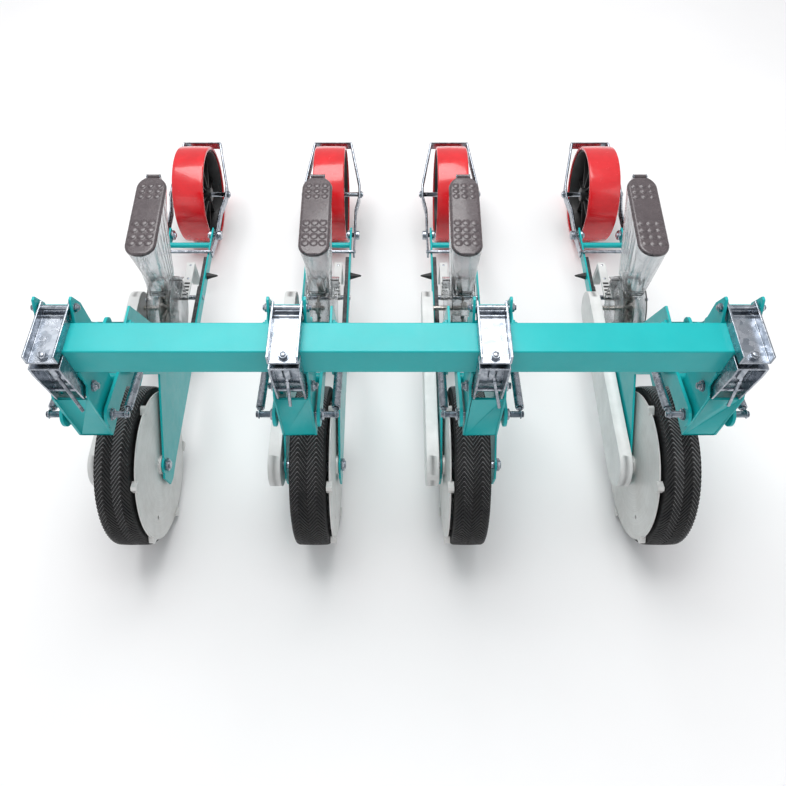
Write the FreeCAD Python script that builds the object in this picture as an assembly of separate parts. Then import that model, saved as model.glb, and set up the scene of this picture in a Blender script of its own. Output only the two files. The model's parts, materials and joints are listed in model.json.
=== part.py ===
import FreeCAD, Part
import math
import os

# Four-row corn planter: row units on parallel links, clamped to one square toolbar.
# Frame: origin at the middle of the toolbar's front face, +X to the right seen from the front,
# +Y to the rear, +Z up. Lengths in millimetres.

# ---- driving dimensions -------------------------------------------------------------------
toolbar_height = 815.0          # ground to the toolbar's centre line
tube = 80.0                     # side of the square toolbar
tube_wall = 5.0
mount_clear = 20.0              # bare tube left between a bracket and what is mounted beside it
row_places = (-750.0, -243.0, 205.0, 750.0)   # row units along the toolbar
row_sides = (1, 1, -1, -1)      # +1: opener on the right of its wheel, -1: on the left
handle_turns = (42.0, -8.0, 40.0, 12.0)       # each clamp handle's direction, degrees to the right
handle_tilts = (38.0, 12.0, 22.0, 12.0)       # each clamp handle's lean from vertical

run_gap = 0.05                  # radial clearance of a running fit
open_gap = 0.3                  # clearance between parts that pass each other
bolt_r = 8.0                    # pivot bolts

bracket_half = 40.0             # bracket side plates, centre from the row's plane
bracket_t = 6.0
bracket_front = 25.0            # front web ahead of the toolbar's face
bracket_rear = 55.0             # side plates behind the toolbar's back face
web_top = 113.0                 # front web's edges below the toolbar's centre line
web_bottom = 283.0
ear_rise = 42.0                 # ears above the toolbar
jaw_t = 5.0                     # clamp channels
jaw_half = 34.0
jaw_flange = 21.0
screw_r = 6.0
screw_front = 16.0              # clamp screw ahead of the toolbar's face

link_length = 200.0
link_drop = 8.0                 # degrees that the links fall to the rear
link_rise = 100.0               # upper pivots above the lower pivots
link_setback = 18.0             # upper pivots behind the lower pivots
link_front = -5.0               # lower front pivot from the toolbar's face
link_below = 214.0              # lower front pivot below the toolbar's centre line
link_t = 8.0
lower_arm = 53.0                # link arms' centres from the row's plane
upper_arm = 26.0
lower_eye = 30.0                # rounded ends of the links
upper_eye = 20.0
spring_r = 9.0
spring_side = 91.0
spring_length = 157.0

side_half = 78.0                # row-unit side plates, centre from the row's plane
side_t = 6.0
bar_low = 150.0                 # rear bars above the ground
bar_high = 188.0
bar_end = 1030.0
axle_y = 44.0                   # gauge wheel's axle behind the toolbar's face
axle_r = 12.0
wheel_r = 228.0
wheel_width = 96.0
tyre_depth = 42.0
wheel_shift = 8.0               # wheel's centre, inward from the row's plane
disc_r = 213.0
disc_t = 4.0
disc_place = 66.0               # opener disc, inward from the row's plane
lug_reach = 12.0
lug_count = 6
lug_half_angle = 4.5
lug_phase = 12.7                # first lug's direction, degrees
lug_side = 6.5                  # lugs stand out from the disc's faces

meter_y = 620.0
meter_height = 230.0
meter_r = 105.0
meter_out = 46.0                # meter's sides from the row's plane, outward and inward
meter_in = 30.0
meter_wall = 3.0
rotor_r = 88.0
finger_count = 12
shaft_r = 8.0
case_place = 104.0              # chain case's centre, always to the left
case_half = 18.0
case_wall = 3.0
case_front_r = 62.0
case_rear_r = 55.0
chain_pitch = 12.7
drive_teeth = 20
driven_teeth = 16
chain_t = 7.0

lid_front_y = 555.0
lid_rear_y = 852.0
lid_front_height = 547.0
lid_rear_height = 575.0
hopper_width = 92.0
hopper_wall = 3.0
hopper_corner = 22.0
neck_length = 84.0
neck_width = 60.0
neck_rise = 17.0                # top of the neck above the round housing
lid_depth = 14.0
lid_wall = 3.0
hinge_r = 3.0
ear_in = 18.0                   # hinge ears from the row's plane
ear_out = 22.0

press_r = 175.0
press_width = 112.0
press_y = 1217.0
press_tyre = 12.0
fork_pivot_y = 1010.0
fork_rod_y = 905.0
fork_end_y = 1416.0
fork_end_height = 244.0
fork_front_half = 92.0          # fork arms' centres at the rod, the axle and the scraper
fork_axle_half = 104.0
fork_end_half = 70.0
fork_t = 6.0
fork_height = 30.0
fork_rod_r = 6.0
knob_r = 16.0

# ---- places worked out from them ------------------------------------------------------------
ground = -toolbar_height
half_tube = tube / 2.0
tube_back = tube
drop = math.radians(link_drop)
low_front = (link_front, -link_below)
up_front = (link_front + link_setback, -link_below + link_rise)
reach = (link_length * math.cos(drop), -link_length * math.sin(drop))
low_rear = (low_front[0] + reach[0], low_front[1] + reach[1])
up_rear = (up_front[0] + reach[0], up_front[1] + reach[1])
spring_end = (low_front[0] + spring_length * math.cos(drop), low_front[1] - spring_length * math.sin(drop))
axle = (axle_y, ground + wheel_r)
meter = (meter_y, ground + meter_height)
neck_height = meter_height + meter_r + neck_rise
corner_trim = 1.0 - math.cos(math.radians(45.0))   # middle of a corner's arc, as a share of its radius
press_axle = (press_y, ground + press_r)
bar_mid = ground + (bar_low + bar_high) / 2.0
fork_pivot = (fork_pivot_y, bar_mid)
fork_rod = (fork_rod_y, ground + bar_high + open_gap + fork_rod_r)
side_out = side_half + side_t / 2.0
side_in = side_half - side_t / 2.0
lid_slope = math.degrees(math.atan2(lid_rear_height - lid_front_height, lid_rear_y - lid_front_y))
lid_length = math.hypot(lid_rear_height - lid_front_height, lid_rear_y - lid_front_y)
lid_mid = ((lid_front_y + lid_rear_y) / 2.0, ground + (lid_front_height + lid_rear_height) / 2.0)
hinge = (lid_rear_y + 2.0 * hinge_r, ground + lid_rear_height + hinge_r)


# ---- building blocks ------------------------------------------------------------------------
def block(x0, x1, y0, y1, z0, z1):
    """A box between two corners, given in any order."""
    low = FreeCAD.Vector(min(x0, x1), min(y0, y1), min(z0, z1))
    return Part.makeBox(abs(x1 - x0), abs(y1 - y0), abs(z1 - z0), low)


def rod(x0, x1, place, radius):
    """A round bar along X at place (y, z)."""
    start = FreeCAD.Vector(min(x0, x1), place[0], place[1])
    return Part.makeCylinder(radius, abs(x1 - x0), start, FreeCAD.Vector(1, 0, 0))


def pipe(x0, x1, place, outer, inner):
    """A round tube along X."""
    return rod(x0, x1, place, outer).cut(rod(x0, x1, place, inner))


def hexagon(x0, x1, place, across):
    """A hexagon bar along X: a nut or a bolt head."""
    corner = across / math.sqrt(3.0)
    turns = [math.radians(60.0 * i) for i in range(7)]
    points = [(place[0] + corner * math.cos(a), place[1] + corner * math.sin(a)) for a in turns]
    return sheet(points[:-1], x0, x1)


def sheet(points, x0, x1):
    """A flat plate square to X, with its outline given as (y, z) points."""
    x = min(x0, x1)
    corners = [FreeCAD.Vector(x, y, z) for y, z in points]
    wire = Part.makePolygon(corners + corners[:1])
    return Part.Face(wire).extrude(FreeCAD.Vector(abs(x1 - x0), 0, 0))


def capsule(first, r_first, second, r_second, x0, x1):
    """A plate square to X whose outline runs round two circles."""
    dy, dz = second[0] - first[0], second[1] - first[1]
    distance = math.hypot(dy, dz)
    along = math.atan2(dz, dy)
    spread = math.acos((r_first - r_second) / distance)
    corners = []
    for centre, radius, sign in ((first, r_first, 1), (second, r_second, 1), (second, r_second, -1), (first, r_first, -1)):
        a = along + sign * spread
        corners.append((centre[0] + radius * math.cos(a), centre[1] + radius * math.sin(a)))
    body = sheet(corners, x0, x1).fuse([rod(x0, x1, first, r_first), rod(x0, x1, second, r_second)])
    return body.removeSplitter()


def rounded(width, length, corner):
    """A rounded rectangle wire in the XY plane, centred on the origin."""
    w, d, c = width / 2.0, length / 2.0, corner
    edges = []
    middles = ((w - c, d - c, 0), (-w + c, d - c, 90), (-w + c, -d + c, 180), (w - c, -d + c, 270))
    arcs = []
    for x, y, turn in middles:
        ends = []
        for a in (turn, turn + 45, turn + 90):
            ends.append(FreeCAD.Vector(x + c * math.cos(math.radians(a)), y + c * math.sin(math.radians(a)), 0))
        arcs.append(ends)
    for i, ends in enumerate(arcs):
        edges.append(Part.Arc(*ends).toShape())
        edges.append(Part.LineSegment(ends[2], arcs[(i + 1) % 4][0]).toShape())
    return Part.Wire(edges)


def placed(shape, y, z, slope=0.0, x=0.0):
    """The shape tilted about X and moved to its place."""
    moved = shape.copy()
    moved.Placement = FreeCAD.Placement(FreeCAD.Vector(x, y, z), FreeCAD.Rotation(FreeCAD.Vector(1, 0, 0), slope))
    return moved


def spun(points, place, x=0.0):
    """A solid of revolution about an axis along X: points are (x, radius)."""
    corners = [FreeCAD.Vector(px, 0, r) for px, r in points]
    wire = Part.makePolygon(corners + corners[:1])
    body = Part.Face(wire).revolve(FreeCAD.Vector(0, 0, 0), FreeCAD.Vector(1, 0, 0), 360)
    return body.translated(FreeCAD.Vector(x, place[0], place[1]))


def joined(parts):
    """One welded solid."""
    return parts[0].fuse(parts[1:]).removeSplitter()


def bolt(x_end, place, radius, nut, nut_place):
    """A through bolt, the same at both ends, with a nut inside each end."""
    nuts = [hexagon(side * nut_place, side * (nut_place + 0.8 * radius), place, nut) for side in (1, -1)]
    return joined([rod(-x_end, x_end, place, radius)] + nuts)


# ---- toolbar and clamps ---------------------------------------------------------------------
def toolbar_span():
    """The toolbar's ends: just inside the outermost bracket plates."""
    inset = bracket_half - bracket_t / 2.0 - open_gap
    return row_places[0] - inset, row_places[-1] + inset


def toolbar():
    """The square tube and its end caps. The bare length between the middle brackets has faces of its own."""
    x0, x1 = toolbar_span()
    inner = half_tube - tube_wall
    hollow = block(x0, x1, tube_wall, tube_back - tube_wall, -inner, inner)
    caps = []
    for end, inward in ((x0, 1), (x1, -1)):
        caps.append(block(end, end + inward * tube_wall, tube_wall, tube_back - tube_wall, -inner, inner))
    reach = bracket_half + bracket_t / 2.0 + mount_clear
    stations = [x0, row_places[1] + reach, row_places[2] - reach, x1]
    lengths = [block(a, b, 0, tube_back, -half_tube, half_tube) for a, b in zip(stations, stations[1:])]
    return [lengths[0].fuse(lengths[1:]).cut(hollow)] + caps


def bracket_outline():
    notch = 22.0
    rear = tube_back + bracket_rear
    return [
        (-bracket_front, -web_bottom),
        (-bracket_front, -web_top),
        (-bracket_front + notch / 3.0, -web_top + notch / 2.0),
        (-bracket_front + notch, -web_top + notch),
        (0.0, -half_tube - notch / 2.0),
        (0.0, half_tube),
        (tube_back, half_tube),
        (tube_back + bracket_rear / 2.0, half_tube + ear_rise),
        (tube_back + bracket_rear / 2.0 + 10.0, half_tube + ear_rise),
        (rear, half_tube),
        (rear, -half_tube),
        (up_front[0] + 45.0, -web_bottom),
    ]


def mount_bracket():
    """The teal bracket of one row: two side plates, front web, seats for the tube and a rear tie."""
    inner = bracket_half - bracket_t / 2.0
    plates = [
        sheet(bracket_outline(), side * inner, side * (inner + bracket_t)) for side in (1, -1)
    ]
    web = block(-inner, inner, -bracket_front, -bracket_front + bracket_t, -web_bottom, -web_top)
    seat = block(-inner, inner, 0, tube_back, -half_tube - bracket_t, -half_tube)
    back = block(-inner, inner, tube_back, tube_back + bracket_t, -half_tube - bracket_t, half_tube)
    tie_y = tube_back + bracket_rear
    tie = block(-inner, inner, tie_y - 22.0, tie_y, half_tube - 2.0 * bracket_t, half_tube - bracket_t)
    holes = [rod(-60, 60, low_front, bolt_r + run_gap), rod(-60, 60, up_front, bolt_r + run_gap)]
    holes.append(rod(-60, 60, jaw_pivot(), screw_r + run_gap))
    tube = block(-60, 60, 0, tube_back, -half_tube, half_tube)
    drilled = [plate.cut(Part.makeCompound(holes + [tube])) for plate in plates]
    return drilled + [web, seat, back, tie]


def jaw_pivot():
    """The upper jaw's bolt through the bracket's ears."""
    return tube_back + bracket_rear / 2.0, half_tube + jaw_t + jaw_flange / 2.0


def clamp_jaws():
    """The two zinc-plated channels: one over the toolbar, one in front of it."""
    y_front = -2.0 * screw_front
    y_rear = tube_back + bracket_rear / 2.0 + 12.0
    top = half_tube
    base = block(-jaw_half, jaw_half, y_front, y_rear, top, top + jaw_t)
    upper = [base, block(-jaw_half, jaw_half, tube_back + 8.0, tube_back + 12.0, top, top + 2.0 * jaw_t)]
    for side in (1, -1):
        x0, x1 = side * (jaw_half - jaw_t), side * jaw_half
        upper.append(block(x0, x1, y_front, y_rear, top, top + jaw_t + jaw_flange))
    upper = joined(upper).cut(rod(-60, 60, jaw_pivot(), screw_r + run_gap))
    lip = top - 2.0 * jaw_t
    foot = -web_top
    depth = 2.0 * screw_front + 6.0
    waist = up_front[1] + upper_eye + open_gap
    toe = -bracket_front + 12.0
    lower = [block(-jaw_half, jaw_half, -depth, 0, lip - jaw_t, lip)]
    lower.append(block(-jaw_half, jaw_half, -jaw_t, 0, waist, lip))
    lower.append(block(-jaw_half, jaw_half, toe - 6.0, toe, waist + 6.0, waist + 14.0))
    wing = [
        (0, lip),
        (-depth, lip),
        (-depth, lip - 28.0),
        (-bracket_front, foot),
        (toe, foot),
        (toe, waist - 8.0),
        (0, waist + 5.0),
    ]
    for side in (1, -1):
        lower.append(sheet(wing, side * (jaw_half - jaw_t), side * jaw_half))
    lower = joined(lower)
    hole = Part.makeCylinder(screw_r + open_gap, 2 * tube, FreeCAD.Vector(0, -screw_front, lip - 2 * jaw_t))
    return [upper.cut(hole), lower.cut(hole)]


def clamp_screw(turn, tilt):
    """The clamp's screw with its top nut, hexagon sleeve and rod handle."""
    top = half_tube + jaw_t + open_gap
    sleeve_top, sleeve_low = half_tube - 3.5 * jaw_t, -half_tube * 0.75
    axis_y = -screw_front
    shank_z = sleeve_low
    shank = Part.makeCylinder(screw_r, top + 12.0 - shank_z, FreeCAD.Vector(0, axis_y, shank_z))
    nut = upright_hexagon(axis_y, top, top + 8.0, 2.9 * screw_r)
    sleeve = upright_hexagon(axis_y, sleeve_low, sleeve_top, 3.1 * screw_r)
    a, t = math.radians(turn), math.radians(tilt)
    way = FreeCAD.Vector(math.sin(a) * math.sin(t), -math.cos(a) * math.sin(t), -math.cos(t))
    start = FreeCAD.Vector(screw_r * math.sin(a), axis_y - screw_r * math.cos(a), sleeve_low + 6.0)
    handle = Part.makeCylinder(4.0, 98.0, start, way)
    return joined([shank, nut, sleeve, handle])


def upright_hexagon(y, z0, z1, across):
    corner = across / math.sqrt(3.0)
    turns = [math.radians(60.0 * i) for i in range(6)]
    points = [FreeCAD.Vector(corner * math.cos(a), y + corner * math.sin(a), z0) for a in turns]
    return Part.Face(Part.makePolygon(points + points[:1])).extrude(FreeCAD.Vector(0, 0, z1 - z0))


def bracket_bolts():
    """The lower pivot bolt, the upper pivot bolt and the jaw bolt of one row."""
    plate = bracket_half + bracket_t / 2.0
    arm = lower_arm + link_t / 2.0 + open_gap
    return [
        bolt(spring_side + spring_r, low_front, bolt_r, 26.0, arm),
        bolt(plate + 14.0, up_front, bolt_r, 24.0, plate),
        bolt(plate + 10.0, jaw_pivot(), screw_r, 18.0, plate),
    ]


# ---- parallel links and springs ---------------------------------------------------------------
def lower_links():
    """Two flat arms with round ends, welded to one cross tube."""
    tie = tuple(low_front[i] + 0.58 * (low_rear[i] - low_front[i]) for i in range(2))
    half = link_t / 2.0
    arms = []
    for side in (1, -1):
        x0, x1 = side * (lower_arm - half), side * (lower_arm + half)
        arms.append(capsule(low_front, lower_eye, low_rear, lower_eye, x0, x1))
    body = joined(arms + [rod(-lower_arm, lower_arm, tie, 14.0)])
    bores = [rod(-80, 80, p, bolt_r + run_gap) for p in (low_front, low_rear)]
    return body.cut(Part.makeCompound(bores))


def upper_links():
    """Two shorter-waisted arms joined by the tube round their front pivot."""
    half = link_t / 2.0
    arms = []
    for side in (1, -1):
        x0, x1 = side * (upper_arm - half), side * (upper_arm + half)
        arms.append(capsule(up_front, upper_eye, up_rear, upper_eye, x0, x1))
    body = joined(arms + [rod(-upper_arm, upper_arm, up_front, 14.0)])
    front = rod(-80, 80, up_front, bolt_r + run_gap)
    rear = rod(-80, 80, up_rear, bolt_r + open_gap)
    return body.cut(front.fuse(rear))


def springs():
    """The pair of tension springs, each as the round envelope of its coils with an eye at each end."""
    pair = []
    dy, dz = spring_end[0] - low_front[0], spring_end[1] - low_front[1]
    way = FreeCAD.Vector(0, dy, dz).normalize()
    for side in (1, -1):
        x = side * spring_side
        start = FreeCAD.Vector(x, low_front[0], low_front[1]) + way * 15.0
        coil = Part.makeCylinder(spring_r, spring_length - 30.0, start, way)
        eyes = []
        for place in (low_front, spring_end):
            eyes.append(pipe(x - 2.0, x + 2.0, place, bolt_r + 8.0, bolt_r + open_gap))
        pair.append(joined([coil] + eyes))
    return pair


# ---- row-unit frame ---------------------------------------------------------------------------
def side_outline():
    """The side plate: a narrow foot at the axle, a tall mast at the links, a long bar to the rear."""
    ay, az = axle
    knee = (low_rear[0] + 42.0, low_rear[1] - 160.0)
    return [
        (ay - 38.0, az - 14.0),
        (ay - 28.0, az - 74.0),
        (ay - 2.0, az - 84.0),
        (ay + 60.0, ground + bar_low),
        (bar_end, ground + bar_low),
        (bar_end, ground + bar_high),
        (meter[0] - 70.0, ground + bar_high),
        (meter[0] - 190.0, ground + bar_high + 80.0),
        (up_rear[0] + 42.0, up_rear[1] + 24.0),
        (up_rear[0] - 34.0, up_rear[1] + 24.0),
        (spring_end[0] - 14.0, spring_end[1] + 30.0),
        (spring_end[0] - 14.0, spring_end[1] - 18.0),
        knee,
    ]


def meter_rod_places():
    """Two cross rods that the round meter housing sits on."""
    r = meter_r + bolt_r + 0.1
    dz = meter[1] - bar_mid
    dy = math.sqrt(r * r - dz * dz)
    return [(meter[0] + way * dy, bar_mid) for way in (1, -1)]


def frame(s):
    """Side plates and cross tubes welded together, with the plated pins, the guide plate and the lever."""
    plates = []
    for side in (1, -1):
        plate = sheet(side_outline(), side * side_in, side * side_out)
        hub = rod(side * side_in, side * side_out, axle, 26.0)
        plates.append(plate.fuse(hub).removeSplitter())
    mast_tie = (up_rear[0] + 26.0, (up_rear[1] + low_rear[1]) / 2.0)
    mid_tie = (axle[0] + wheel_r + 95.0, axle[1] + 115.0)
    ties = [rod(-side_in, side_in, p, 13.0) for p in (mast_tie, mid_tie)]
    ties.append(rod(-side_in, side_in, (fork_pivot_y - 50.0, bar_mid), 10.0))
    cuts = [rod(-90, 90, axle, axle_r + run_gap), rod(-90, 90, fork_pivot, bolt_r + run_gap)]
    cuts += [rod(-90, 90, p, bolt_r) for p in (low_rear, up_rear, spring_end)]
    cuts += [rod(-90, 90, p, bolt_r) for p in meter_rod_places()]
    plates = [plate.cut(Part.makeCompound(cuts)) for plate in plates]
    pins = [bolt(side_out + 12.0, p, bolt_r, 24.0, side_out) for p in (low_rear, up_rear)]
    pins += [rod(-side_out - 3.0, side_out + 3.0, p, bolt_r) for p in meter_rod_places()]
    for side in (1, -1):
        pins.append(rod(side * side_in, side * (spring_side + spring_r), spring_end, bolt_r))
    plate_low = ground + bar_high - 12.0
    guide = block(s * (side_in - 13.0), s * side_in, meter[0] + 130.0, fork_rod_y - 12.0, plate_low, plate_low + 5.0)
    lever_y = fork_rod_y - 90.0
    blade = [(lever_y - 14.0, bar_mid - 6.0), (lever_y + 14.0, bar_mid - 6.0), (lever_y + 8.0, bar_mid + 8.0), (lever_y - 8.0, bar_mid + 8.0)]
    root = Part.makePolygon([FreeCAD.Vector(s * side_out, y, z) for y, z in blade + blade[:1]])
    tip_at = s * (side_out + 38.0)
    tip = Part.makePolygon([FreeCAD.Vector(tip_at, lever_y + 0.2 * (y - lever_y), bar_mid + 0.2 * (z - bar_mid)) for y, z in blade + blade[:1]])
    lever = Part.makeLoft([root, tip], True, True)
    return plates + ties + pins + [guide, lever]


# ---- chain drive ------------------------------------------------------------------------------
def pitch_radius(teeth):
    return chain_pitch / (2.0 * math.sin(math.pi / teeth))


def sprocket(teeth, place, x0, x1, bore):
    """A plate sprocket: a disc to the tooth tips with round roots between the teeth."""
    radius = pitch_radius(teeth)
    disc = rod(x0, x1, place, radius + 1.5)
    roots = []
    for i in range(teeth):
        a = 2.0 * math.pi * i / teeth
        centre = (place[0] + (radius + 2.2) * math.cos(a), place[1] + (radius + 2.2) * math.sin(a))
        roots.append(rod(x0, x1, centre, 3.6))
    return disc.cut(Part.makeCompound(roots + [rod(x0, x1, place, bore)]))


def chain_case():
    """A long closed case in two halves, its stand-offs and the chain inside."""
    inner_x, outer_x = -case_place + case_half, -case_place - case_half
    shell = capsule(axle, case_front_r, meter, case_rear_r, inner_x, outer_x)
    room = capsule(axle, case_front_r - case_wall, meter, case_rear_r - case_wall, inner_x - case_wall, outer_x + case_wall)
    shell = shell.cut(room)
    bores = [rod(inner_x + 1, inner_x - case_wall - 1, axle, axle_r + run_gap)]
    bores.append(rod(inner_x + 1, inner_x - case_wall - 1, meter, shaft_r + run_gap))
    shell = shell.cut(Part.makeCompound(bores))
    split = block(-case_place, outer_x - 1, -200, meter_y + 200, ground, 0)
    cover = shell.common(split)
    back = shell.cut(split)
    legs = []
    for share in (0.3, 0.7):
        place = tuple(axle[i] + share * (meter[i] - axle[i]) for i in range(2))
        place = (place[0], min(place[1], ground + bar_high + 10.0))
        legs.append(rod(-side_out, inner_x, place, 9.0))
    back = joined([back] + legs)
    r1, r2 = pitch_radius(drive_teeth) + 1.5 + open_gap, pitch_radius(driven_teeth) + 1.5 + open_gap
    x0, x1 = -case_place + 3.0, -case_place - 3.0
    chain = capsule(axle, r1 + chain_t, meter, r2 + chain_t, x0, x1).cut(capsule(axle, r1, meter, r2, x0, x1))
    return [back, cover, chain]


# ---- gauge wheel and opener -------------------------------------------------------------------
def gauge_wheel(s):
    """Ribbed tyre on a dished steel rim, keyed to the axle that drives the chain."""
    half = wheel_width / 2.0
    inner = wheel_r - tyre_depth
    x = s * wheel_shift
    shoulder = 9.0
    tyre = spun([(-half, inner), (half, inner), (half, wheel_r - shoulder), (half - shoulder, wheel_r),
                 (-half + shoulder, wheel_r), (-half, wheel_r - shoulder)], axle, x)
    rim_t, web = 5.0, 8.0
    rim = spun([(-half + 4, inner), (-half + 4, inner - rim_t), (-web, inner - rim_t), (-web, 34), (-30, 34),
                (-30, axle_r), (30, axle_r), (30, 34), (web, 34), (web, inner - rim_t),
                (half - 4, inner - rim_t), (half - 4, inner)], axle, x)
    shaft = rod(-case_place - 10.0, side_out + 14.0, axle, axle_r)
    nut = hexagon(side_out + open_gap, side_out + 11.0, axle, 34.0)
    shaft = joined([shaft, nut])
    gear = sprocket(drive_teeth, axle, -case_place + 3.0, -case_place - 3.0, axle_r)
    return [tyre, rim, shaft, gear]


def opener_disc(s):
    """A flat disc with a ring of pointed lugs on its rim, turning on the wheel's axle."""
    inward = disc_place - disc_t / 2.0
    parts = [rod(s * inward, s * (inward + disc_t), axle, disc_r)]
    parts.append(rod(s * (inward - 6.0), s * (inward + 10.0), axle, 28.0))
    half = math.radians(lug_half_angle)
    for i in range(lug_count):
        a = 2.0 * math.pi * i / lug_count + math.radians(lug_phase)
        foot, tip = disc_r - 4.0, disc_r + lug_reach
        points = []
        for radius, turn in ((foot, a - half), (tip, a - 0.25 * half), (tip, a + 0.25 * half), (foot, a + half)):
            points.append((axle[0] + radius * math.cos(turn), axle[1] + radius * math.sin(turn)))
        parts.append(sheet(points, s * (inward - lug_side), s * (inward + disc_t + 0.85 * lug_side)))
    body = joined(parts)
    turn = math.radians(201.0)
    hole = (axle[0] + 0.71 * disc_r * math.cos(turn), axle[1] + 0.71 * disc_r * math.sin(turn))
    return body.cut(Part.makeCompound([rod(-100, 100, axle, axle_r + run_gap), rod(-100, 100, hole, 6.0)]))


# ---- seed meter, hopper and lid ---------------------------------------------------------------
def corner_wedge(way, low, top):
    """What lies ahead of (-1) or behind (1) planes at 45 degrees through a tapering duct's corners.
    low and top are (half width, y, z) of the corners."""
    out = 60.0
    ends = []
    for share in (-0.1, 1.25):
        x, y, z = (low[i] + share * (top[i] - low[i]) for i in range(3))
        corners = [FreeCAD.Vector(0, y - way * x, z)]
        corners += [FreeCAD.Vector(side * (x + out), y + way * out, z) for side in (1, -1)]
        ends.append(Part.makePolygon(corners + corners[:1]))
    return Part.makeLoft(ends, True, True)


def duct_walls(duct, ahead, behind):
    """A duct as its front and rear walls and its two side walls, which meet at the corners."""
    return [duct.common(ahead), duct.common(behind)] + duct.cut(Part.makeCompound([ahead, behind])).Solids


def neck_wedge(way, mid):
    y = meter[0] + 10.0 + way * (neck_length / 2.0 - corner_trim * 12.0)
    half = neck_width / 2.0 - corner_trim * 12.0
    wedge = corner_wedge(way, (half, y, ground + meter_height), (half, y, ground + neck_height))
    return wedge.translated(FreeCAD.Vector(mid, 0, 0))


def neck_wire(inset, height):
    wire = rounded(neck_width - 2 * inset, neck_length - 2 * inset, 12.0 - inset)
    return placed(wire, meter[0] + 10.0, ground + height)


def seed_meter(s):
    """A round clear housing with its cover, the guard over its inner side and the seed chute."""
    x0, x1 = -s * meter_out, s * meter_in
    room = rod(x0 + s * meter_wall, x1 - s * meter_wall, meter, meter_r - meter_wall)
    drum = rod(x0, x1, meter, meter_r).cut(room)
    mid = s * (meter_in - meter_out) / 2.0
    neck = Part.makeLoft([neck_wire(0, meter_height), neck_wire(0, neck_height)], True, True)
    neck = neck.translated(FreeCAD.Vector(mid, 0, 0))
    way = Part.makeLoft([neck_wire(meter_wall, meter_height), neck_wire(meter_wall, neck_height)], True, True)
    way = way.translated(FreeCAD.Vector(mid, 0, 0))
    neck = neck.cut(rod(-200, 200, meter, meter_r)).cut(way)
    drum = drum.cut(way)
    bore = rod(-200, 0.5 * (x0 + x1), meter, shaft_r + run_gap)
    outlet = block(mid - 14, mid + 14, meter[0] - 18, meter[0] + 18, meter[1] - 2 * meter_r, meter[1] - 0.5 * meter_r)
    drum = drum.cut(bore).cut(outlet)
    cover_cut = block(x1 - s * meter_wall, x1 + s * 5, -500, 1500, ground, 0)
    cover = drum.common(cover_cut)
    case = drum.cut(cover_cut)
    top = placed(rounded(44, 56, 8), meter[0], meter[1] - meter_r + 12.0, 0, mid)
    low = placed(rounded(26, 34, 6), meter[0] - 6.0, ground + 62.0, 0, mid)
    top_in = placed(rounded(38, 50, 6), meter[0], meter[1] - meter_r + 12.0, 0, mid)
    low_in = placed(rounded(20, 28, 4), meter[0] - 6.0, ground + 62.0, 0, mid)
    chute = Part.makeLoft([top, low], True, True).cut(Part.makeLoft([top_in, low_in], True, True))
    chute = chute.cut(rod(-200, 200, meter, meter_r))
    lip = x1 + s * open_gap
    arch = pipe(lip, lip + s * 26.0, meter, meter_r + 2.0, meter_r - 2.0)
    arch = arch.common(block(-200, 200, meter[0] - meter_r - 5, meter[0] + 60.0, meter[1] - 20, meter[1] + 2 * meter_r))
    skirt_y = (meter[0] + 30.0, meter[0] + 190.0)
    strip_top = ground + meter_height + 12.0
    strip = block(lip, lip + s * 26.0, skirt_y[0], skirt_y[1], strip_top - 8.0, strip_top)
    leg = block(lip, lip + s * 26.0, meter[0] + 170.0, skirt_y[1], ground + bar_low, strip_top - 8.0)
    stem = block(lip, lip + s * 26.0, skirt_y[0], skirt_y[0] + 8.0, strip_top - 8.0, meter[1] + meter_r - 6.0)
    guard = joined([arch, strip, leg, stem])
    return [case, cover, chute, guard] + duct_walls(neck, neck_wedge(-1, mid), neck_wedge(1, mid))


def hopper():
    """A tapering thin-walled seed bin with a hinge pin in two ears at its rear edge."""
    def skin(inset, extra):
        low = placed(rounded(neck_width + 12 - 2 * inset, neck_length + 12 - 2 * inset, 14.0 - inset),
                     meter[0] + 10.0, ground + neck_height - extra)
        top = placed(rounded(hopper_width - 2 * inset, lid_length - 2 * inset, hopper_corner - inset),
                     lid_mid[0], lid_mid[1] + extra, lid_slope)
        return Part.makeLoft([low, top], True, True)
    body = skin(0, 0).cut(skin(hopper_wall, 0.01))
    low = ground + neck_height
    floor = Part.Face(placed(rounded(neck_width + 12, neck_length + 12, 14), meter[0] + 10.0, low))
    floor = floor.extrude(FreeCAD.Vector(0, 0, -hopper_wall))
    return body, floor


def hopper_wedge(way):
    slope = math.radians(lid_slope)
    low_y = meter[0] + 10.0 + way * ((neck_length + 12) / 2.0 - corner_trim * 14.0)
    low = ((neck_width + 12) / 2.0 - corner_trim * 14.0, low_y, ground + neck_height)
    reach = way * (lid_length / 2.0 - corner_trim * hopper_corner)
    top_y = lid_mid[0] + reach * math.cos(slope)
    top_z = lid_mid[1] + reach * math.sin(slope)
    return corner_wedge(way, low, (hopper_width / 2.0 - corner_trim * hopper_corner, top_y, top_z))


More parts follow.
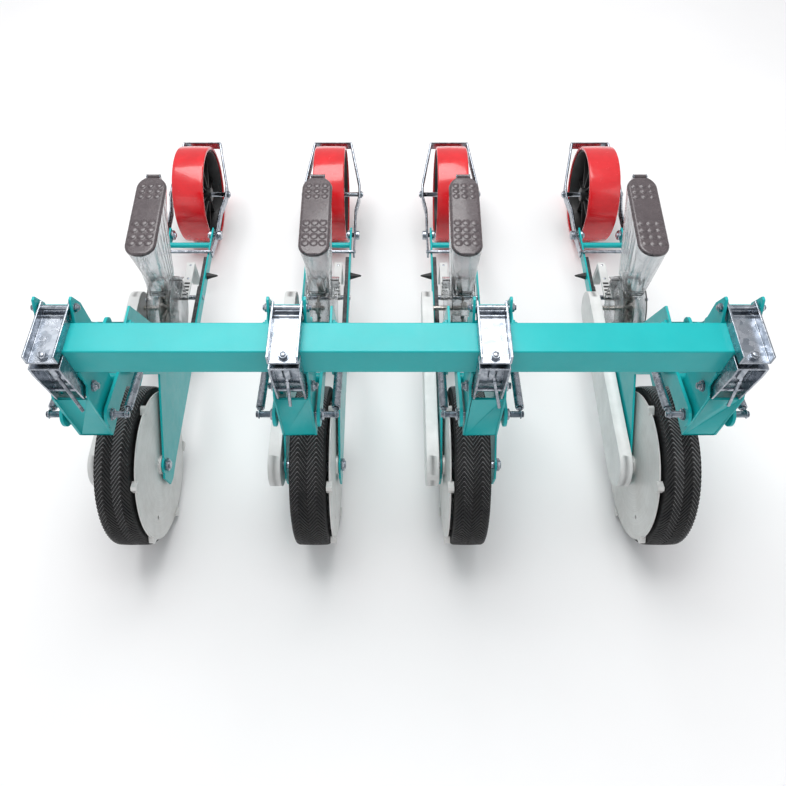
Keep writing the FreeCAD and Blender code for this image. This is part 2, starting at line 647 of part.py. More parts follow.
def hopper_parts(s):
    """Front, rear and side walls that meet at the middles of the corners, the floor and the hinge pin."""
    body, floor = hopper()
    mid = s * (meter_in - meter_out) / 2.0
    hole = placed(rounded(neck_width, neck_length, 12.0), meter[0] + 10.0, 0)
    hole = Part.Face(hole).extrude(FreeCAD.Vector(0, 0, -toolbar_height)).translated(FreeCAD.Vector(mid, 0, 0))
    floor = floor.cut(hole)
    strip_x = neck_width / 2.0
    band = block(mid - strip_x, mid + strip_x, 0, meter[0] + neck_length, ground, 0)
    ears = []
    seam = ground + lid_rear_height
    for side in (1, -1):
        x0, x1 = side * ear_in, side * ear_out
        ears.append(block(x0, x1, lid_rear_y - 2 * hopper_wall, hinge[0] + 5.0, seam - 12.0, seam - 1.0))
        ears.append(block(x0, x1, lid_rear_y + open_gap, hinge[0] + 5.0, seam - 12.0, hinge[1] + 5.0))
    pin = rod(-ear_out, ear_out, hinge, hinge_r)
    shell = joined([body] + ears).cut(pin)
    ahead, behind = hopper_wedge(-1), hopper_wedge(1)
    strips = floor.common(band).Solids + floor.cut(band).Solids
    return duct_walls(shell, ahead, behind) + strips + [pin]


def hopper_lid():
    """A shallow smoked lid with a rolled rim, closed over the bin's edge, and its hinge knuckle."""
    lift = open_gap
    def skin(inset, z0, z1):
        low = placed(rounded(hopper_width - 2 * inset, lid_length - 2 * inset, hopper_corner - inset),
                     lid_mid[0], lid_mid[1] + z0, lid_slope)
        shrink = inset + 6.0
        top = placed(rounded(hopper_width - 2 * shrink, lid_length - 2 * shrink, hopper_corner - 6.0),
                     lid_mid[0], lid_mid[1] + z1, lid_slope)
        return Part.makeLoft([low, top], True, True)
    shell = skin(0, lift, lid_depth).cut(skin(lid_wall, lift - 0.01, lid_depth - lid_wall))
    slots = []
    for side in (1, -1):
        slots.append(block(side * (ear_in - open_gap), side * (ear_out + open_gap), lid_rear_y - 9.0,
                           lid_rear_y + 1.0, lid_mid[1] - 50.0, lid_mid[1] + 50.0))
    shell = shell.cut(Part.makeCompound(slots))
    wide = ear_in - open_gap
    knuckle = rod(-wide, wide, hinge, hinge_r + 3.0)
    tab = block(-wide, wide, lid_rear_y - 7.0, hinge[0], hinge[1] + 1.0, hinge[1] + 5.0)
    body = joined([shell, knuckle, tab])
    return body.cut(rod(-30, 30, hinge, hinge_r + run_gap))


def finger_rotor(s):
    """The pick-up disc with its ring of fingers, on the shaft that the chain turns."""
    mid = s * (meter_in - meter_out) / 2.0
    disc = rod(mid - 3.0, mid + 3.0, meter, rotor_r)
    hub = rod(mid - 12.0, mid + 16.0, meter, 20.0)
    fingers = []
    for i in range(finger_count):
        a = 2.0 * math.pi * i / finger_count
        way = FreeCAD.Vector(0, math.cos(a), math.sin(a))
        start = FreeCAD.Vector(mid + s * 6.0, meter[0], meter[1]) + way * 18.0
        fingers.append(Part.makeCylinder(5.0, rotor_r - 22.0, start, way))
    wheel = joined([disc, hub] + fingers)
    shaft = rod(-case_place - 10.0, mid + 24.0, meter, shaft_r)
    gear = sprocket(driven_teeth, meter, -case_place + 3.0, -case_place - 3.0, shaft_r)
    return [wheel.cut(shaft), shaft, gear]


# ---- press wheel and fork ---------------------------------------------------------------------
def ribbon(points, thickness):
    """A strip's outline: points offset to both sides, mitred at each bend."""
    left, right = [], []
    for i, (px, py) in enumerate(points):
        before = points[max(i - 1, 0)]
        after = points[min(i + 1, len(points) - 1)]
        first = math.atan2(py - before[1], px - before[0]) if i else math.atan2(after[1] - py, after[0] - px)
        last = math.atan2(after[1] - py, after[0] - px) if i < len(points) - 1 else first
        mean = (first + last) / 2.0
        size = thickness / 2.0 / math.cos((last - first) / 2.0)
        left.append((px - size * math.sin(mean), py + size * math.cos(mean)))
        right.append((px + size * math.sin(mean), py - size * math.cos(mean)))
    return left + right[::-1]


def press_fork():
    """A flat-bar fork: front cross rod, two bent arms, rear scraper bar, axle bolt, pivot knobs."""
    plan = [
        (fork_rod_y - 16.0, fork_front_half),
        (press_y - 95.0, fork_front_half),
        (press_y - 25.0, fork_axle_half),
        (press_y + 25.0, fork_axle_half),
        (fork_end_y - 10.0, fork_end_half),
        (fork_end_y + 3.0, fork_end_half),
    ]
    rise = [
        (fork_rod_y - 16.0, fork_rod[1]),
        (fork_pivot_y, fork_pivot[1]),
        (press_y, press_axle[1]),
        (fork_end_y + 3.0, ground + fork_end_height),
    ]
    band = sheet(ribbon(rise, fork_height), -200, 200)
    arms = []
    for side in (1, -1):
        corners = [FreeCAD.Vector(side * x, y, ground) for y, x in ribbon(plan, fork_t)]
        slab = Part.Face(Part.makePolygon(corners + corners[:1])).extrude(FreeCAD.Vector(0, 0, toolbar_height))
        arms.append(slab.common(band))
    bar_z = ground + fork_end_height
    bar = block(-fork_end_half - fork_t / 2, fork_end_half + fork_t / 2, fork_end_y - fork_t, fork_end_y,
                bar_z - fork_height / 2, bar_z + fork_height / 2 - 2.0)
    cross = rod(-fork_front_half - 6.0, fork_front_half + 6.0, fork_rod, fork_rod_r)
    body = joined(arms + [bar, cross])
    inner = fork_front_half - fork_t / 2.0
    cuts = [rod(-130, 130, press_axle, bolt_r)]
    cuts += [rod(side * (inner - 1), side * 130, fork_pivot, bolt_r) for side in (1, -1)]
    body = body.cut(Part.makeCompound(cuts))
    axle_bolt = bolt(fork_axle_half + fork_t / 2.0 + 10.0, press_axle, bolt_r, 24.0, fork_axle_half + fork_t / 2.0)
    knobs = []
    for side in (1, -1):
        face = fork_front_half + fork_t / 2.0
        pin = rod(side * side_in, side * (face + 4.0), fork_pivot, bolt_r)
        knobs.append(joined([pin, rod(side * face, side * (face + 13.0), fork_pivot, knob_r)]))
    return [body, axle_bolt] + knobs


def press_wheel():
    """A smooth red tyre band on a black spoked-web hub."""
    half = press_width / 2.0
    inner = press_r - press_tyre
    edge = 5.0
    tyre = spun([(-half, inner), (half, inner), (half, press_r - edge), (half - edge, press_r),
                 (-half + edge, press_r), (-half, press_r - edge)], press_axle)
    hub = spun([(-half + 6, inner), (-half + 6, inner - 7), (-6, inner - 12), (-6, 30), (-half + 10, 26),
                (-half + 10, bolt_r + run_gap), (half - 10, bolt_r + run_gap), (half - 10, 26), (6, 30),
                (6, inner - 12), (half - 6, inner - 7), (half - 6, inner)], press_axle)
    return [tyre, hub]


# ---- writing the pieces -----------------------------------------------------------------------
def save(name, solids, x=0.0):
    moved = [solid.translated(FreeCAD.Vector(x, 0, 0)) for solid in solids]
    shape = moved[0] if len(moved) == 1 else Part.makeCompound(moved)
    shape.exportStep(os.path.join("parts", name + ".step"))


def main():
    os.makedirs("parts", exist_ok=True)
    save("toolbar", toolbar())
    brackets, jaws, bolts = [], [], []
    for x in row_places:
        shift = FreeCAD.Vector(x, 0, 0)
        brackets += [plate.translated(shift) for plate in mount_bracket()]
        jaws += [jaw.translated(shift) for jaw in clamp_jaws()]
        bolts += [piece.translated(shift) for piece in bracket_bolts()]
    save("mount_brackets", brackets)
    save("clamp_jaws", jaws)
    save("bracket_bolts", bolts)
    for i, (x, s) in enumerate(zip(row_places, row_sides)):
        row = "r" + str(i + 1)
        save("clamp_screw_" + row, [clamp_screw(handle_turns[i], handle_tilts[i])], x)
        save("lower_links_" + row, [lower_links()], x)
        save("upper_links_" + row, [upper_links()], x)
        save("springs_" + row, springs(), x)
        save("frame_" + row, frame(s), x)
        save("chain_case_" + row, chain_case(), x)
        save("gauge_wheel_" + row, gauge_wheel(s), x)
        save("opener_disc_" + row, [opener_disc(s)], x)
        save("seed_meter_" + row, seed_meter(s), x)
        save("finger_rotor_" + row, finger_rotor(s), x)
        save("hopper_" + row, hopper_parts(s), x)
        save("hopper_lid_" + row, [hopper_lid()], x)
        save("press_fork_" + row, press_fork(), x)
        save("press_wheel_" + row, press_wheel(), x)


main()
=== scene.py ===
import json
import math

import bmesh
import bpy
from mathutils import Matrix, Vector, noise


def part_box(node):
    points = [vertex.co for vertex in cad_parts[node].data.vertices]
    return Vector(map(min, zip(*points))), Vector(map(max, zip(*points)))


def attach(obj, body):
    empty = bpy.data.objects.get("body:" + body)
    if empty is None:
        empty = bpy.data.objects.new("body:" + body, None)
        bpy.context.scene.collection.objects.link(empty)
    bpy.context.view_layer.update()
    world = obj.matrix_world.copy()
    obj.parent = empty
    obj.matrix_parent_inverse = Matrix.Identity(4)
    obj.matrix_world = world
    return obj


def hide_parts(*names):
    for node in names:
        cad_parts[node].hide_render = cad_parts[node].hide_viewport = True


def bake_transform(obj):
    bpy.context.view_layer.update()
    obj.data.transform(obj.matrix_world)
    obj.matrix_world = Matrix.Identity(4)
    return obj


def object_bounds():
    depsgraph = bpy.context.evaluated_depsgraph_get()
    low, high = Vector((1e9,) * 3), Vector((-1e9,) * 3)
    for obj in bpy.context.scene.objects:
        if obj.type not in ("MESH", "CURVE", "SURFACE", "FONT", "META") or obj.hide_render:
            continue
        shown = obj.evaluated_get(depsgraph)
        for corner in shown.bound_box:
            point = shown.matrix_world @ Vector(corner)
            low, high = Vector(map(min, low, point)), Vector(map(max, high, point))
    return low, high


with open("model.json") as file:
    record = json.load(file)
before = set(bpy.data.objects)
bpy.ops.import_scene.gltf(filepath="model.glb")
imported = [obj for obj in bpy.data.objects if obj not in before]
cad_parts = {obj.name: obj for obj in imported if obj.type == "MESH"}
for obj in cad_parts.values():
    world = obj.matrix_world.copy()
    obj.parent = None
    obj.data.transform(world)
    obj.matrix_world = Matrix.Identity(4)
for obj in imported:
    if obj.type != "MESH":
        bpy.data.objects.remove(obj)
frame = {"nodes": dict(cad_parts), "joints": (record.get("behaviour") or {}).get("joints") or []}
cad_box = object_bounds()

MM = 0.001
X_WAY = (1, 0, 0)
UP = (0, 0, 1)
ROWS = ("r1", "r2", "r3", "r4")
JOINTS = {j["name"]: j for j in frame["joints"]}


# ---- where things are, from the frame ----------------------------------------------------------
def pivot(joint):
    """A joint's place as a vector."""
    return Vector(JOINTS[joint]["pos_m"])


def islands(node):
    """The separate solids of a CAD node: (polygon indices, lowest corner, highest corner) of each."""
    mesh = frame["nodes"][node].data
    keys, owner = {}, []
    for v in mesh.vertices:
        key = (round(v.co.x, 5), round(v.co.y, 5), round(v.co.z, 5))
        owner.append(keys.setdefault(key, len(keys)))
    parent = list(range(len(keys)))

    def find(a):
        while parent[a] != a:
            parent[a] = parent[parent[a]]
            a = parent[a]
        return a

    for p in mesh.polygons:
        first = find(owner[p.vertices[0]])
        for v in p.vertices[1:]:
            parent[find(owner[v])] = first
            first = find(first)
    groups = {}
    for p in mesh.polygons:
        groups.setdefault(find(owner[p.vertices[0]]), []).append(p.index)
    found = []
    for polygons in groups.values():
        points = [mesh.vertices[v].co for i in polygons for v in mesh.polygons[i].vertices]
        low = Vector([min(p[k] for p in points) for k in range(3)])
        high = Vector([max(p[k] for p in points) for k in range(3)])
        found.append((polygons, low, high))
    return found


# ---- materials ---------------------------------------------------------------------------------
class Shader:
    """A Principled material with a few helpers for procedural detail in object coordinates."""

    def __init__(self, name, **sockets):
        self.material = bpy.data.materials.new(name)
        self.material.use_nodes = True
        self.nodes = self.material.node_tree.nodes
        self.links = self.material.node_tree.links
        self.bsdf = self.nodes["Principled BSDF"]
        self.place = self.nodes.new("ShaderNodeTexCoord").outputs["Object"]
        for key, value in sockets.items():
            self.bsdf.inputs[key.replace("_", " ")].default_value = value

    def noise(self, scale, detail=3.0, rough=0.5, vector=None):
        node = self.nodes.new("ShaderNodeTexNoise")
        node.inputs["Scale"].default_value = scale
        node.inputs["Detail"].default_value = detail
        node.inputs["Roughness"].default_value = rough
        self.links.new(vector or self.place, node.inputs["Vector"])
        return node.outputs["Fac"]

    def cells(self, scale):
        node = self.nodes.new("ShaderNodeTexVoronoi")
        node.inputs["Scale"].default_value = scale
        self.links.new(self.place, node.inputs["Vector"])
        separate = self.nodes.new("ShaderNodeSeparateColor")
        self.links.new(node.outputs["Color"], separate.inputs["Color"])
        return separate.outputs["Red"]

    def rings(self, centre, per_metre):
        """A value that runs in rings about an axis along X through centre."""
        away = self.nodes.new("ShaderNodeVectorMath")
        away.operation = "SUBTRACT"
        away.inputs[1].default_value = centre
        self.links.new(self.place, away.inputs[0])
        flat = self.nodes.new("ShaderNodeVectorMath")
        flat.operation = "MULTIPLY"
        flat.inputs[1].default_value = (0.0, 1.0, 1.0)
        self.links.new(away.outputs["Vector"], flat.inputs[0])
        size = self.nodes.new("ShaderNodeVectorMath")
        size.operation = "LENGTH"
        self.links.new(flat.outputs["Vector"], size.inputs[0])
        join = self.nodes.new("ShaderNodeCombineXYZ")
        self.links.new(size.outputs["Value"], join.inputs["X"])
        return self.noise(per_metre, 4.0, 0.7, join.outputs["Vector"])

    def ramp(self, value, stops):
        node = self.nodes.new("ShaderNodeValToRGB")
        ramp = node.color_ramp
        while len(ramp.elements) < len(stops):
            ramp.elements.new(0.5)
        for element, (at, colour) in zip(ramp.elements, stops):
            element.position = at
            element.color = (*colour, 1.0) if len(colour) == 3 else colour
        self.links.new(value, node.inputs["Fac"])
        return node.outputs["Color"]

    def span(self, value, low, high, start=0.3, end=0.7):
        node = self.nodes.new("ShaderNodeMapRange")
        node.inputs["From Min"].default_value = start
        node.inputs["From Max"].default_value = end
        node.inputs["To Min"].default_value = low
        node.inputs["To Max"].default_value = high
        self.links.new(value, node.inputs["Value"])
        return node.outputs["Result"]

    def blend(self, factor, first, second):
        node = self.nodes.new("ShaderNodeMix")
        node.data_type = "RGBA"
        self.links.new(factor, node.inputs["Factor"])
        for socket, value in ((node.inputs[6], first), (node.inputs[7], second)):
            if isinstance(value, tuple):
                socket.default_value = (*value, 1.0)
            else:
                self.links.new(value, socket)
        return node.outputs[2]

    def colour(self, output):
        self.links.new(output, self.bsdf.inputs["Base Color"])
        return self

    def roughness(self, output):
        self.links.new(output, self.bsdf.inputs["Roughness"])
        return self

    def bump(self, *layers):
        """Stacks (height output, distance in metres) layers into one normal."""
        last = None
        for height, distance in layers:
            node = self.nodes.new("ShaderNodeBump")
            node.inputs["Distance"].default_value = distance
            self.links.new(height, node.inputs["Height"])
            if last:
                self.links.new(last, node.inputs["Normal"])
            last = node.outputs["Normal"]
        self.links.new(last, self.bsdf.inputs["Normal"])
        return self


def paint_material(name, light, dark):
    """Smooth sprayed paint with a faint orange peel."""
    s = Shader(name, Coat_Weight=0.18, Coat_Roughness=0.12, IOR=1.36)
    s.colour(s.ramp(s.noise(6.0, 4.0, 0.6), [(0.3, dark), (0.7, light)]))
    s.roughness(s.span(s.noise(28.0, 5.0, 0.6), 0.28, 0.4))
    return s.bump((s.noise(380.0, 2.0, 0.5), 0.0002), (s.noise(40.0, 2.0, 0.5), 0.0004)).material


def metal_material(name, light, dark, rough, cells=90.0, metallic=1.0):
    """Plated steel with a spangle of light and dark cells."""
    s = Shader(name, Metallic=metallic, IOR=1.5)
    spangle = s.cells(cells)
    cloudy = s.noise(25.0, 4.0, 0.6)
    tone = s.ramp(spangle, [(0.0, dark), (1.0, light)])
    s.colour(s.blend(s.span(cloudy, 0.0, 0.35), tone, dark))
    s.roughness(s.span(cloudy, rough[0], rough[1]))
    return s.bump((s.noise(700.0, 2.0, 0.5), 0.0001), (spangle, 0.00012)).material


def rubber_material(name):
    """Black rubber with a little dust."""
    s = Shader(name, IOR=1.45)
    dust = s.span(s.noise(30.0, 6.0, 0.7), 0.0, 1.0, 0.42, 0.75)
    s.colour(s.blend(dust, (0.008, 0.008, 0.009), (0.028, 0.027, 0.026)))
    s.roughness(s.span(s.noise(120.0, 3.0, 0.6), 0.42, 0.68))
    return s.bump((s.noise(900.0, 3.0, 0.6), 0.0002)).material


def disc_material(name, centre):
    """Pale turned steel: rings about the disc's axle, and smears."""
    s = Shader(name, Metallic=0.25, IOR=1.5, Coat_Weight=0.15, Coat_Roughness=0.3)
    turned = s.rings(centre, 220.0)
    smear = s.noise(14.0, 6.0, 0.65)
    tone = s.ramp(turned, [(0.3, (0.58, 0.58, 0.57)), (0.7, (0.74, 0.74, 0.72))])
    s.colour(s.blend(s.span(smear, 0.0, 0.3, 0.45, 0.7), tone, (0.42, 0.40, 0.37)))
    s.roughness(s.span(smear, 0.32, 0.5))
    return s.bump((turned, 0.0001), (s.noise(300.0, 3.0, 0.6), 0.0001)).material


def plastic_material(name, light, dark, rough, coat=0.0):
    """Moulded plastic."""
    s = Shader(name, IOR=1.47, Coat_Weight=coat, Coat_Roughness=0.08)
    s.colour(s.ramp(s.noise(16.0, 5.0, 0.6), [(0.3, dark), (0.7, light)]))
    s.roughness(s.span(s.noise(50.0, 4.0, 0.6), rough[0], rough[1]))
    return s.bump((s.noise(600.0, 2.0, 0.5), 0.00012), (s.noise(22.0, 2.0, 0.5), 0.0004)).material


def clear_material(name, tint, shade, rough, transmission):
    """Clear moulded plastic with slow waves in its surface."""
    s = Shader(name, IOR=1.46, Transmission_Weight=transmission)
    s.colour(s.ramp(s.noise(20.0, 4.0, 0.6), [(0.3, shade), (0.7, tint)]))
    s.roughness(s.span(s.noise(45.0, 4.0, 0.6), rough[0], rough[1]))
    return s.bump((s.noise(38.0, 3.0, 0.5), 0.0009)).material


def smoke_material(name):
    """Smoked plastic, partly see-through."""
    s = Shader(name, IOR=1.47, Transmission_Weight=0.25, Coat_Weight=0.4, Coat_Roughness=0.08)
    s.colour(s.ramp(s.noise(26.0, 4.0, 0.6), [(0.3, (0.088, 0.070, 0.076)), (0.7, (0.118, 0.095, 0.101))]))
    s.roughness(s.span(s.noise(60.0, 4.0, 0.6), 0.2, 0.34))
    return s.bump((s.noise(240.0, 3.0, 0.5), 0.00018)).material


TEAL = paint_material("teal_paint", (0.004, 0.43, 0.44), (0.003, 0.38, 0.39))
ZINC = metal_material("zinc_plate", (0.52, 0.55, 0.60), (0.24, 0.27, 0.31), (0.18, 0.36))
DARK_STEEL = metal_material("dark_steel", (0.11, 0.11, 0.11), (0.05, 0.05, 0.055), (0.35, 0.55), 140.0)
FINGER = metal_material("finger_metal", (0.74, 0.71, 0.66), (0.40, 0.38, 0.35), (0.2, 0.4), 160.0)
RIM = metal_material("rim_steel", (0.70, 0.71, 0.72), (0.50, 0.51, 0.52), (0.35, 0.5), 120.0, 0.6)
RUBBER = rubber_material("tread_rubber")
RED = plastic_material("press_red", (0.72, 0.010, 0.016), (0.56, 0.006, 0.011), (0.16, 0.28), 0.6)
# Lighter grey for one flank of each tyre rib: a painted highlight standing in for light caught on the rib
# edges.
RIB_HIGHLIGHT = plastic_material("rib_painted_highlight", (0.46, 0.46, 0.47), (0.26, 0.26, 0.265), (0.4, 0.6))
BLACK = plastic_material("black_plastic", (0.022, 0.022, 0.023), (0.012, 0.012, 0.012), (0.35, 0.55))
WHITE = plastic_material("case_white", (0.74, 0.75, 0.74), (0.62, 0.63, 0.62), (0.3, 0.48), 0.15)
CLEAR = clear_material("clear_plastic", (0.84, 0.85, 0.86), (0.70, 0.72, 0.73), (0.04, 0.16), 1.0)
SMOKE = smoke_material("smoke_plastic")


# ---- mesh building -----------------------------------------------------------------------------
def along(origin, direction, roll=None):
    """A matrix whose X axis runs along direction from origin."""
    x = Vector(direction).normalized()
    up = Vector(roll) if roll else (Vector((0, 0, 1)) if abs(x.z) < 0.9 else Vector((0, -1, 0)))
    y = up.cross(x).normalized()
    z = x.cross(y)
    m = Matrix((x, y, z)).transposed().to_4x4()
    m.translation = Vector(origin)
    return m


class Piece:
    """Collects faces for one object."""

    def __init__(self):
        self.verts, self.faces, self.slots = [], [], []

    def add(self, verts, faces, matrix=None, slot=0):
        base = len(self.verts)
        for v in verts:
            self.verts.append(matrix @ Vector(v) if matrix else Vector(v))
        for f in faces:
            self.faces.append([base + i for i in f])
            self.slots.append(slot)
        return self

    def lathe(self, profile, matrix, sides=48, slot=0, turn=0.0):
        """Spins (x, radius) points about X. A profile that starts and ends on the axis is closed there."""
        open_ended = profile[0][1] == 0 and profile[-1][1] == 0
        verts, rings = [], []
        for x, r in profile:
            if r == 0:
                rings.append([len(verts)] * sides)
                verts.append((x, 0, 0))
            else:
                rings.append(list(range(len(verts), len(verts) + sides)))
                for i in range(sides):
                    a = turn + 2 * math.pi * i / sides
                    verts.append((x, r * math.cos(a), r * math.sin(a)))
        faces = []
        count = len(rings)
        for k in range(count - 1 if open_ended else count):
            a, b = rings[k], rings[(k + 1) % count]
            for i in range(sides):
                j = (i + 1) % sides
                face = [a[i], a[j], b[j], b[i]]
                unique = [v for n, v in enumerate(face) if v not in face[:n]]
                if len(unique) > 2:
                    faces.append(unique)
        return self.add(verts, faces, matrix, slot)

    def bar(self, matrix, length, radius, chamfer=0.0006, sides=24, slot=0):
        """A solid round bar along X with chamfered ends."""
        c = chamfer
        profile = [(0, 0), (0, radius - c), (c, radius)]
        profile += [(length - c, radius), (length, radius - c), (length, 0)]
        return self.lathe(profile, matrix, sides, slot)

    def washer(self, matrix, inner, outer, thick, sides=28):
        """A flat ring that starts at the matrix and reaches thick along X."""
        return self.lathe([(0, inner), (0, outer), (thick, outer), (thick, inner)], matrix, sides)

    def nut(self, matrix, across, height, slot=0):
        """A hexagon with its corners turned off at both ends."""
        corner, flat, c = across / math.sqrt(3), across / 2, height * 0.16
        verts, rows = [], []
        for x, limit in ((0, flat * 0.98), (c, corner), (height - c, corner), (height, flat * 0.98)):
            row = []
            for i in range(24):
                a = 2 * math.pi * i / 24
                inside = math.cos((a + math.pi / 6) % (math.pi / 3) - math.pi / 6)
                r = min(limit, flat / inside)
                row.append(len(verts))
                verts.append((x, r * math.cos(a), r * math.sin(a)))
            rows.append(row)
        faces = [rows[0][::-1], rows[-1]]
        for a, b in zip(rows, rows[1:]):
            for i in range(24):
                j = (i + 1) % 24
                faces.append([a[i], a[j], b[j], b[i]])
        return self.add(verts, faces, matrix, slot)

    def thread(self, matrix, length, radius, pitch=0.0018, slot=0, sides=20):
        """A threaded bar: rings of ridges along its length."""
        profile = [(0, 0)]
        turns = max(2, int(length / pitch))
        step = length / turns
        for i in range(turns):
            profile += [(i * step + 0.15 * step, radius - 0.45 * step), (i * step + 0.6 * step, radius)]
        profile.append((length, radius - 0.5 * step))
        profile.append((length, 0))
        return self.lathe(profile, matrix, sides, slot)

    def tube(self, points, radius, sides=8, slot=0, wobble=0.0):
        """A closed round tube through points, with an optional uneven thickness as on a weld."""
        verts, rings = [], []
        side = None
        for i, p in enumerate(points):
            ahead = points[min(i + 1, len(points) - 1)] - points[max(i - 1, 0)]
            x = ahead.normalized()
            if side is None:
                side = x.orthogonal().normalized()
            side = (side - x * side.dot(x)).normalized()
            other = x.cross(side)
            r = radius * (1 + wobble * noise.noise(p * 300.0))
            rings.append(list(range(len(verts), len(verts) + sides)))
            for k in range(sides):
                a = 2 * math.pi * k / sides
                verts.append(p + (side * math.cos(a) + other * math.sin(a)) * r)
        faces = [rings[0][::-1], rings[-1]]
        for a, b in zip(rings, rings[1:]):
            for k in range(sides):
                j = (k + 1) % sides
                faces.append([a[k], a[j], b[j], b[k]])
        return self.add(verts, faces, None, slot)

    def weld(self, start, end, radius=0.0028):
        """A lumpy bead between two points."""
        start, end = Vector(start), Vector(end)
        steps = max(6, int((end - start).length / 0.0025))
        points = [start.lerp(end, i / steps) for i in range(steps + 1)]
        return self.tube(points, radius, 8, 0, 0.55)

    def block(self, low, high, slot=0, chamfer=0.001):
        """A box with chamfered edges."""
        c = chamfer
        verts, index = [], {}
        for sx in (0, 1):
            for sy in (0, 1):
                for sz in (0, 1):
                    corner = [high[k] if s else low[k] for k, s in enumerate((sx, sy, sz))]
                    push = [-c if s else c for s in (sx, sy, sz)]
                    for axis in range(3):
                        p = [corner[k] + (0 if k == axis else push[k]) for k in range(3)]
                        index[(sx, sy, sz, axis)] = len(verts)
                        verts.append(p)
        faces = []
        for axis in range(3):
            u, v = [k for k in range(3) if k != axis]
            for s in (0, 1):
                face = []
                for a, b in ((0, 0), (1, 0), (1, 1), (0, 1)):
                    key = [0, 0, 0]
                    key[axis], key[u], key[v] = s, a, b
                    face.append(index[(*key, axis)])
                faces.append(face)
            for a in (0, 1):
                for b in (0, 1):
                    ends = []
                    for s in (0, 1):
                        key = [0, 0, 0]
                        key[axis], key[u], key[v] = s, a, b
                        ends.append(key)
                    first, second = tuple(ends[0]), tuple(ends[1])
                    corners = ((first, u), (first, v), (second, v), (second, u))
                    faces.append([index[(*corner, way)] for corner, way in corners])
        for sx in (0, 1):
            for sy in (0, 1):
                for sz in (0, 1):
                    faces.append([index[(sx, sy, sz, k)] for k in range(3)])
        return self.add(verts, faces, None, slot)

    def finish(self, name, body, slot, materials, replaces=(), sharp=40.0):
        """Makes the object, faces outward, smooth up to the sharp angle, riding on its body."""
        mesh = bpy.data.meshes.new(name)
        mesh.from_pydata([tuple(v) for v in self.verts], [], self.faces)
        for m in materials:
            mesh.materials.append(m)
        mesh.polygons.foreach_set("material_index", self.slots)
        mesh.polygons.foreach_set("use_smooth", [True] * len(mesh.polygons))
        outward(mesh)
        mesh.set_sharp_from_angle(angle=math.radians(sharp))
        mesh.update()
        obj = bpy.data.objects.new(name, mesh)
        bpy.context.scene.collection.objects.link(obj)
        if body:
            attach(obj, body)
        if replaces:
            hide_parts(*replaces)
        return obj


def outward(mesh):
    """Turns every face outward."""
    bm = bmesh.new()
    bm.from_mesh(mesh)
    bmesh.ops.recalc_face_normals(bm, faces=bm.faces)
    bm.to_mesh(mesh)
    bm.free()


# ---- CAD nodes that stay -----------------------------------------------------------------------
def dress(node, choose, bevel=0.0008, segments=2):
    """Gives each solid of a CAD node its material, and breaks its sharp edges."""
    obj = frame["nodes"][node]
    mesh = obj.data
    used, picks = [], []
    for polygons, low, high in islands(node):
        material = choose(low, high) if callable(choose) else choose
        if material not in used:
            used.append(material)
        picks.append((polygons, used.index(material)))
    mesh.materials.clear()
    for material in used:
        mesh.materials.append(material)
    for polygons, index in picks:
        for i in polygons:
            mesh.polygons[i].material_index = index
            mesh.polygons[i].use_smooth = True
    if bevel:
        weld = obj.modifiers.new("weld", "WELD")
        weld.merge_threshold = 0.00002
        flat = obj.modifiers.new("flat", "DECIMATE")
        flat.decimate_type = "DISSOLVE"
        flat.angle_limit = math.radians(1.0)
        flat.delimit = {"MATERIAL"}
        edge = obj.modifiers.new("edge", "BEVEL")
        edge.width = bevel
        edge.segments = segments
        edge.limit_method = "ANGLE"
        edge.angle_limit = math.radians(38.0)
        edge.use_clamp_overlap = False
        edge.miter_outer = "MITER_ARC"
        obj.modifiers.new("shade", "WEIGHTED_NORMAL")


def clear_arch(node, drum):
    """The guard's arch over the drum is clear; its rear strip and legs stay white."""
    mesh = frame["nodes"][node].data
    clear = list(mesh.materials).index(CLEAR)
    white = list(mesh.materials).index(WHITE)
    for p in mesh.polygons:
        if p.material_index == white and p.center.z > drum.z - 0.05:
            if p.center.y < drum.y + 31 * MM or p.center.z > drum.z + 14 * MM:
                p.material_index = clear


def size_of(low, high):
    return [high[k] - low[k] for k in range(3)]


def frame_part(low, high):
    """The material of one solid of a row unit's frame, told by its size."""
    size = size_of(low, high)
    plate = max(size) > 0.5
    tie = 0.14 < size[0] < 0.155
    if plate or tie:
        return TEAL
    lever = 0.03 < size[0] < 0.045
    if lever:
        return BLACK
    guide = size[0] < 0.02 and size[1] > 0.08
    return DARK_STEEL if guide else ZINC


def case_part(low, high):
    """The chain case is white; the thin chain and sprockets are dark."""
    return DARK_STEEL if size_of(low, high)[0] < 0.01 else WHITE


def dress_all():
    """Gives every CAD node that stays visible its materials."""
    dress("toolbar", TEAL, 0.004, 4)
    dress("mount_brackets", TEAL, 0.0012)
    dress("clamp_jaws", ZINC, 0.0012)
    for r in ROWS:
        dress("lower_links_" + r, TEAL, 0.001)
        dress("upper_links_" + r, TEAL, 0.001)
        dress("opener_disc_" + r, disc_material("disc_steel_" + r, pivot("disc_spin_" + r)), 0.0006)
        dress("finger_rotor_" + r, FINGER, 0.0005)
        dress("press_fork_" + r, ZINC, 0.001)
        dress("frame_" + r, frame_part, 0.0008)
        dress("chain_case_" + r, case_part, 0.0015, 3)
        drum = pivot("meter_spin_" + r)

        def meter_part(low, high):
            size = size_of(low, high)
            chute = high.z < drum.z - 0.05
            guard = 0.02 < size[0] < 0.03 and low.z > drum.z - 0.09 and size[1] > 0.15
            return WHITE if chute or guard else CLEAR

        dress("seed_meter_" + r, meter_part, 0.0007)
        clear_arch("seed_meter_" + r, drum)


